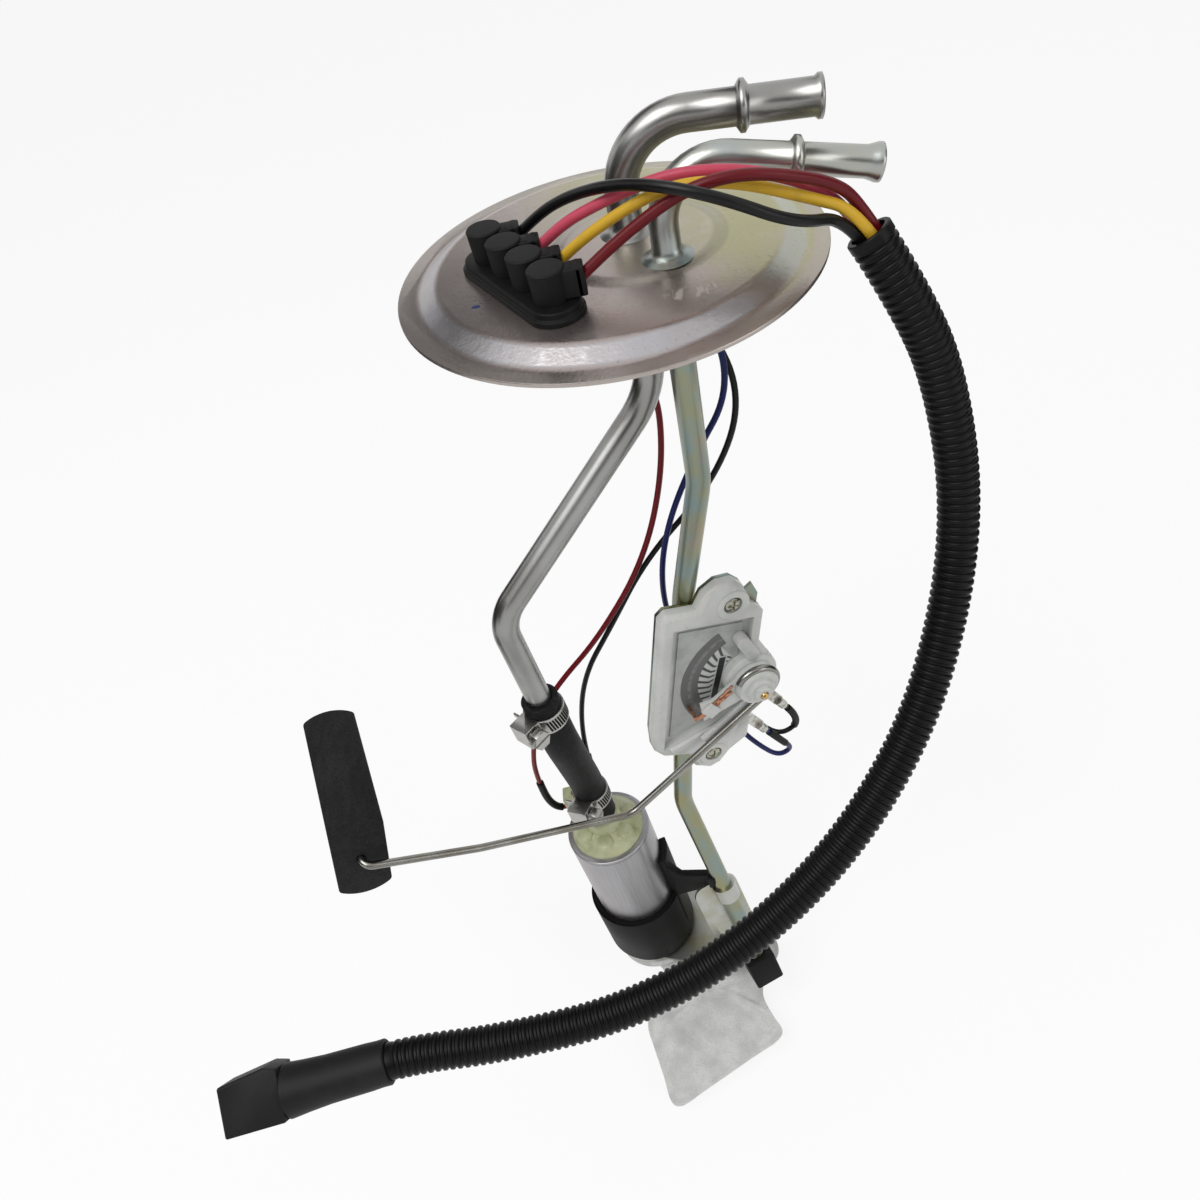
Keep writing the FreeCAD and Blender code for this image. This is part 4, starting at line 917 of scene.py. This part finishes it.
sock_place = pump_place @ Matrix.Translation((0, 0, sock_top - sock_thick / 2))
sock = piece("sock", felt_bag(), felt(), "felt", sock_place, stands_for=["strainer_sock"], smooth=60.0)
sock_in_frame = sock_place.inverted() @ Matrix.Scale(1000, 4)
sock.parent = None
puffed(sock, lambda point: abs((sock_in_frame @ point).z) < hem_half + 0.25, puff_most)
sock_normal = sock_place.to_3x3() @ Vector((0, 0, 1))
for vert in sock.data.vertices:
    height = (sock_in_frame @ vert.co).z
    puff = max(0.0, abs(height) - hem_half) / (sock_thick / 2)
    rumple = noise.noise(vert.co * 95.0) * 0.9 + noise.noise(vert.co * 210.0) * 0.35
    vert.co += sock_normal * (millimetre * rumple * puff * math.copysign(1.0, height))
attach(sock, "hanger")
soften = sock.modifiers.new("soften", "SUBSURF")
soften.levels = 1
soften.render_levels = 1


# Hose and worm clamps
# A short length of braided fuel hose joins the supply tube to the pump. Each clamp has a slotted band
# of bright steel, a raised saddle and a hexagonal worm screw with a slot.
def hose_skin():
    finish = Finish("hose_rubber", tone(24, 24, 25), 0.58, Specular_IOR_Level=0.16)
    rubbed = finish.grain(6.0, 4.0)
    braid = finish.grain(1.1, 3.0)
    finish.tint(tone(14, 14, 15), tone(38, 38, 38), (rubbed * 0.6 + braid * 0.4).rise(0.46, 0.74))
    finish.set("Roughness", 0.5 + rubbed * 0.18)
    finish.bump(rubbed + braid * 1.5, 0.09)
    return finish


def band_steel():
    finish = Finish("clamp_steel", tone(190, 188, 182), 0.24, 1.0)
    scratched = finish.grain(1.5, 4.0)
    finish.tint(tone(176, 175, 171), tone(140, 136, 126), scratched.rise(0.5, 0.75) * 0.4)
    finish.set("Roughness", 0.28 + scratched * 0.14)
    return finish


supply_last = Vector((-52.5, -30.0, -164.0))
supply_before = Vector((-58.5, -27.0, -106.0))
hose_along = (supply_last - supply_before).normalized()
hose_top = supply_last - hose_along * 17.0
hose_turn_top = supply_last + hose_along * 8.0
hose_turn_low = pump_place @ Vector((0, 0, 38.0))
hose_low = pump_place @ Vector((0, 0, 13.5))
hose_radius = 9.525 / 2 + 2.4
dressed("fuel_hose", "hose", hose_skin(), "black_rubber", (0.4, 2, 50.0), smooth=50.0)
clamp_bright = band_steel()
clamp_dark = moulded_black("slot_shadow", 12, 0.6, 0.8)
upper_axis = (hose_top - hose_turn_top).normalized()
lower_axis = (hose_turn_low - hose_low).normalized()
clamps = {"upper": stood(hose_top - upper_axis * 8.5, upper_axis, (-0.72, -0.69, 0)),
          "lower": stood(hose_low + lower_axis * 14.5, lower_axis, (-0.5, -0.9, 0))}
slot_count = 30
for level, place in clamps.items():
    dressed(level + "_band", "clamp_%s_band" % level, clamp_bright, "bright_steel", (0.15, 1, 50.0))
    dressed(level + "_worm", "clamp_%s_screw" % level, clamp_bright, "screw_steel", (0.12, 1, 50.0))
    slots = bmesh.new()
    for i in range(slot_count):
        angle = math.radians(55 + i * 250 / slot_count)
        before = set(slots.verts)
        block(slots, (hose_radius + 0.7, -0.42, -2.7), (hose_radius + 0.84, 0.42, 2.7))
        fresh = [v for v in slots.verts if v not in before]
        turn = Matrix.Rotation(angle, 4, "Z") @ Matrix.Rotation(math.radians(9), 4, "X")
        bmesh.ops.transform(slots, matrix=turn, verts=fresh)
    piece(level + "_slots", slots, clamp_dark, "black_rubber", place)


# Leads in the tank
# Thin fuel-proof leads run from the studs: red and black to the pump, blue to the sender, and a short
# ground lead from the sender back to its plate. Each ends in a black sleeve over its crimp.
tank_diameter = 0.0022
tank_routes = {
    "red": [(-0.0214, -0.0199, -0.0025), (-0.0214, -0.0199, -0.01), (-0.018, -0.013, -0.017),
           (-0.009, 0.003, -0.0255), (0.0082, 0.0135, -0.049), (0.0061, 0.0095, -0.082),
           (-0.0066, 0.003, -0.118), (-0.03, -0.001, -0.151), (-0.0515, -0.004, -0.1715),
           (-0.0635, -0.007, -0.188), (-0.069, -0.008, -0.205), (-0.072, -0.008, -0.222),
           (-0.071, -0.0057, -0.2552), (-0.0644, -0.0056, -0.2547)],
    "black": [(-0.0267, -0.01, -0.0025), (-0.0267, -0.01, -0.01), (-0.0245, -0.004, -0.0165),
             (-0.018, 0.007, -0.019), (0.002, 0.02, -0.0185), (0.027, 0.015, -0.033),
             (0.035, 0.005, -0.058), (0.022, 0.0035, -0.0888), (-0.0061, 0.0065, -0.121),
             (-0.025, 0.0045, -0.152), (-0.0405, 0.003, -0.176), (-0.048, 0.002, -0.206),
             (-0.0487, -0.003, -0.2354), (-0.0477, -0.0033, -0.2473)],
    "blue": [(-0.0161, -0.0299, -0.0025), (-0.0161, -0.0299, -0.011), (-0.011, -0.023, -0.018),
            (0.006, -0.001, -0.019), (0.029, 0.006, -0.031), (0.03, 0.003, -0.054),
            (0.017, 0.002, -0.074), (0.003, -0.002, -0.1), (-0.003, -0.001, -0.13),
            (-0.001, 0.002, -0.16), (0.008, 0.003, -0.19), (0.014, -0.004, -0.2061),
            (0.0196, -0.0086, -0.2166), (0.0265, -0.0102, -0.227), (0.0341, -0.0094, -0.2377),
            (0.0407, -0.009, -0.2338), (0.0355, -0.0125, -0.2224), (0.0286, -0.0146, -0.2092)]}
ground_route = [(0.0377, -0.0118, -0.199), (0.0421, -0.0105, -0.2073), (0.0434, -0.0072, -0.2207),
                (0.0354, -0.008, -0.2242), (0.0273, -0.0068, -0.2156), (0.0195, -0.0055, -0.205),
                (0.0138, -0.0072, -0.1992), (0.0158, -0.014, -0.1992)]
tank_tones = {"red": (112, 12, 22), "black": (10, 10, 11), "blue": (14, 24, 84)}
sleeve_black = moulded_black("sleeve_black", 8, 0.5, 0.6)
for colour, points in tank_routes.items():
    cover = lead_cover("tank_cover_" + colour, tank_tones[colour])
    strand("tank_" + colour, points, tank_diameter, cover, ["tank_lead_" + colour])
ground_cover = lead_cover("ground_cover", tank_tones["black"])
strand("tank_ground", ground_route, tank_diameter, ground_cover, ["ground_lead"])


def sleeve(name, route, start, length, radius):
    """A shrunk sleeve over part of a lead, start and length in millimetres along it."""
    line = line_of(name + "_guide", route)
    reached = [0.0]
    for a, b in zip(line, line[1:]):
        reached.append(reached[-1] + (b - a).length)
    if start < 0:
        start = reached[-1] + start
    part = [p for p, r in zip(line, reached) if start <= r <= start + length]
    span = sum((b - a).length for a, b in zip(part, part[1:]))
    rings = max(8, int(span / 1.2))
    outline = [(radius - 0.25, 0.0)] + [(radius, span * (i + 0.3) / (rings + 0.6)) for i in range(rings + 1)]
    outline = [(0.0, 0.0)] + outline + [(radius - 0.25, span), (0.0, span)]
    return piece(name, laid_along(turned(outline, 16), part), sleeve_black, "black_rubber")


sleeve("sleeve_red", tank_routes["red"], -29.0, 28.0, 1.7)
sleeve("sleeve_black", tank_routes["black"], -24.0, 23.0, 1.6)
sleeve("sleeve_blue", tank_routes["blue"], -20.0, 17.0, 1.55)
sleeve("sleeve_ground", ground_route, 2.5, 20.0, 1.55)


# Inner parts of the pump
# The motor and the pump stage are inside the can: shaft, laminated armature, magnets, brushes, the
# vaned impeller and its chamber, the inlet and the valve ball. They are finished plainly.
def inner(name, colour, roughness, metallic, size):
    finish = Finish(name, tone(*colour), roughness, metallic)
    wear = finish.grain(size, 3.0)
    darker = tone(*(c * 0.7 for c in colour))
    finish.tint(finish.colour, darker, wear.rise(0.4, 0.7))
    finish.set("Roughness", roughness - 0.06 + wear * 0.14)
    return finish


inner_steel = inner("inner_steel", (178, 178, 180), 0.25, 1.0, 4.0)
inner_finishes = {
    "armature_shaft": inner_steel, "check_ball": inner_steel,
    "armature_core": inner("copper_laminate", (170, 104, 74), 0.4, 0.9, 2.0),
    "magnet_ring": inner("ferrite", (58, 56, 58), 0.6, 0.2, 3.0),
    "brush_1": inner("brush_carbon", (46, 46, 48), 0.55, 0.1, 1.5),
    "brush_2": inner("brush_carbon_two", (46, 46, 48), 0.55, 0.1, 1.5),
    "impeller": inner("impeller_plastic", (70, 60, 50), 0.5, 0.0, 3.0),
    "pump_chamber": inner("chamber_plastic", (52, 52, 54), 0.5, 0.0, 3.0),
    "pump_inlet": inner("inlet_plastic", (44, 44, 46), 0.5, 0.0, 3.0)}
for node, finish in inner_finishes.items():
    refinished(node, finish)


# Studio
# A pale floor under the part and a plain white room, with a large soft lamp overhead and a weaker one
# beside it. Six dark cards stand where only the gloss of the metal sees them.
white = (1.0, 1.0, 1.0, 1.0)


class Room(Finish):
    """A stage finish: a plain surface that the camera and the gloss see as white."""

    def __init__(self, name, colour, seen_white):
        super().__init__(name, colour, 0.9)
        path = self.node("ShaderNodeLightPath", {}, {}).socket.node
        looked_at = Value(self, path.outputs["Is Camera Ray"]) + Value(self, path.outputs["Is Glossy Ray"])
        looked_at = looked_at + Value(self, path.outputs["Is Transmission Ray"])
        glow = self.node("ShaderNodeEmission", {}, {"Color": white, "Strength": 1.0})
        share = looked_at.math("MINIMUM", 1.0) * seen_white
        shader = Value(self, self.shader.outputs[0])
        both = self.node("ShaderNodeMixShader", {}, {0: share, 1: shader, 2: glow})
        self.tree.links.new(both.socket, self.tree.nodes["Material Output"].inputs[0])


def sheet(name, wide, tall, place, finish):
    """A flat sheet, wide by tall in metres, that faces along the z of its place."""
    bm = bmesh.new()
    bmesh.ops.create_grid(bm, x_segments=1, y_segments=1, size=0.5)
    bmesh.ops.scale(bm, vec=(wide, tall, 1.0), verts=bm.verts)
    bmesh.ops.transform(bm, matrix=place, verts=bm.verts)
    data = bpy.data.meshes.new(name)
    bm.to_mesh(data)
    bm.free()
    data.materials.append(finish.material)
    made = bpy.data.objects.new(name, data)
    bpy.context.scene.collection.objects.link(made)
    return made


floor_gap = 0.0015
floor_size = 28.0
floor_place = Matrix.Translation((0, 0, cad_low.z - floor_gap))
floor_paper = Room("floor_paper", tone(250, 250, 250), 0.85)
floor = sheet("floor", floor_size, floor_size, floor_place, floor_paper)

card_grey = Finish("card_grey", tone(26, 26, 27), 0.9)
target = Vector((0.0, -0.03, -0.17))
for name, direction, distance, wide, tall in (("card_front", (0.1, -1.0, 0.6), 1.6, 2.4, 0.6),
                                              ("card_left", (-1.0, -0.25, 0.3), 1.6, 1.6, 1.0),
                                              ("card_right", (1.0, -0.1, 0.45), 1.6, 1.4, 0.8),
                                              ("card_over", (-0.5, 0.8, 0.75), 1.6, 1.2, 0.8),
                                              ("card_low_left", (-0.93, 0.4, -0.1), 0.6, 0.7, 0.5),
                                              ("card_low_right", (0.93, 0.4, -0.1), 0.6, 0.7, 0.5)):
    away = Vector(direction).normalized()
    turn = away.to_track_quat("Z", "Y").to_matrix().to_4x4()
    card = sheet(name, wide, tall, Matrix.Translation(target + away * distance) @ turn, card_grey)
    card.visible_camera = False
    card.visible_diffuse = False
    card.visible_shadow = False
    card.visible_transmission = False

world = bpy.data.worlds.new("room")
bpy.context.scene.world = world
world.use_nodes = True
room_nodes = world.node_tree.nodes
room_links = world.node_tree.links
room_light = 0.5
background = room_nodes["Background"]
background.inputs["Color"].default_value = white
ray = room_nodes.new("ShaderNodeLightPath")
seen = ray.outputs["Is Camera Ray"]
for kind in ("Is Glossy Ray", "Is Transmission Ray"):
    either = room_nodes.new("ShaderNodeMath")
    either.operation = "MAXIMUM"
    room_links.new(seen, either.inputs[0])
    room_links.new(ray.outputs[kind], either.inputs[1])
    seen = either.outputs[0]
glow = room_nodes.new("ShaderNodeMapRange")
glow.inputs["To Min"].default_value = room_light
glow.inputs["To Max"].default_value = 1.0
room_links.new(seen, glow.inputs["Value"])
room_links.new(glow.outputs[0], background.inputs["Strength"])

for name, direction, distance, size, power in (("lamp_main", (-0.45, -0.35, 1.0), 1.5, 0.9, 11.0),
                                               ("lamp_side", (1.0, -0.6, 0.5), 1.6, 0.8, 4.0)):
    data = bpy.data.lights.new(name, "AREA")
    data.shape = "SQUARE"
    data.size = size
    data.energy = power
    lamp = bpy.data.objects.new(name, data)
    away = Vector(direction).normalized()
    lamp.location = target + away * distance
    lamp.rotation_mode = "QUATERNION"
    lamp.rotation_quaternion = away.to_track_quat("Z", "Y")
    bpy.context.scene.collection.objects.link(lamp)


# Camera
# It stands close in front of the plate and looks down at 45 degrees, rolled to the left, as the
# photograph does. Its lens takes in the whole part from the nozzles to the sock.
camera_at = Vector((0.0, -0.265883, 0.133359))
camera_pitch = 0.78187
camera_yaw = -0.098195
camera_roll = -0.250917
forward = Vector((math.sin(camera_yaw) * math.cos(camera_pitch),
                  math.cos(camera_yaw) * math.cos(camera_pitch), -math.sin(camera_pitch)))
level_right = forward.cross(Vector((0, 0, 1))).normalized()
level_up = level_right.cross(forward)
right = level_right * math.cos(camera_roll) + level_up * math.sin(camera_roll)
up = level_up * math.cos(camera_roll) - level_right * math.sin(camera_roll)
lens = bpy.data.cameras.new("camera")
lens.lens = 30.0
lens.sensor_width = 36.0
lens.clip_start = 0.01
lens.clip_end = 100.0
camera = bpy.data.objects.new("camera", lens)
camera_turn = Matrix((right, up, -forward)).transposed().to_4x4()
camera.matrix_world = Matrix.Translation(camera_at) @ camera_turn
bpy.context.scene.collection.objects.link(camera)
bpy.context.scene.camera = camera
bpy.context.scene.view_settings.view_transform = "Standard"
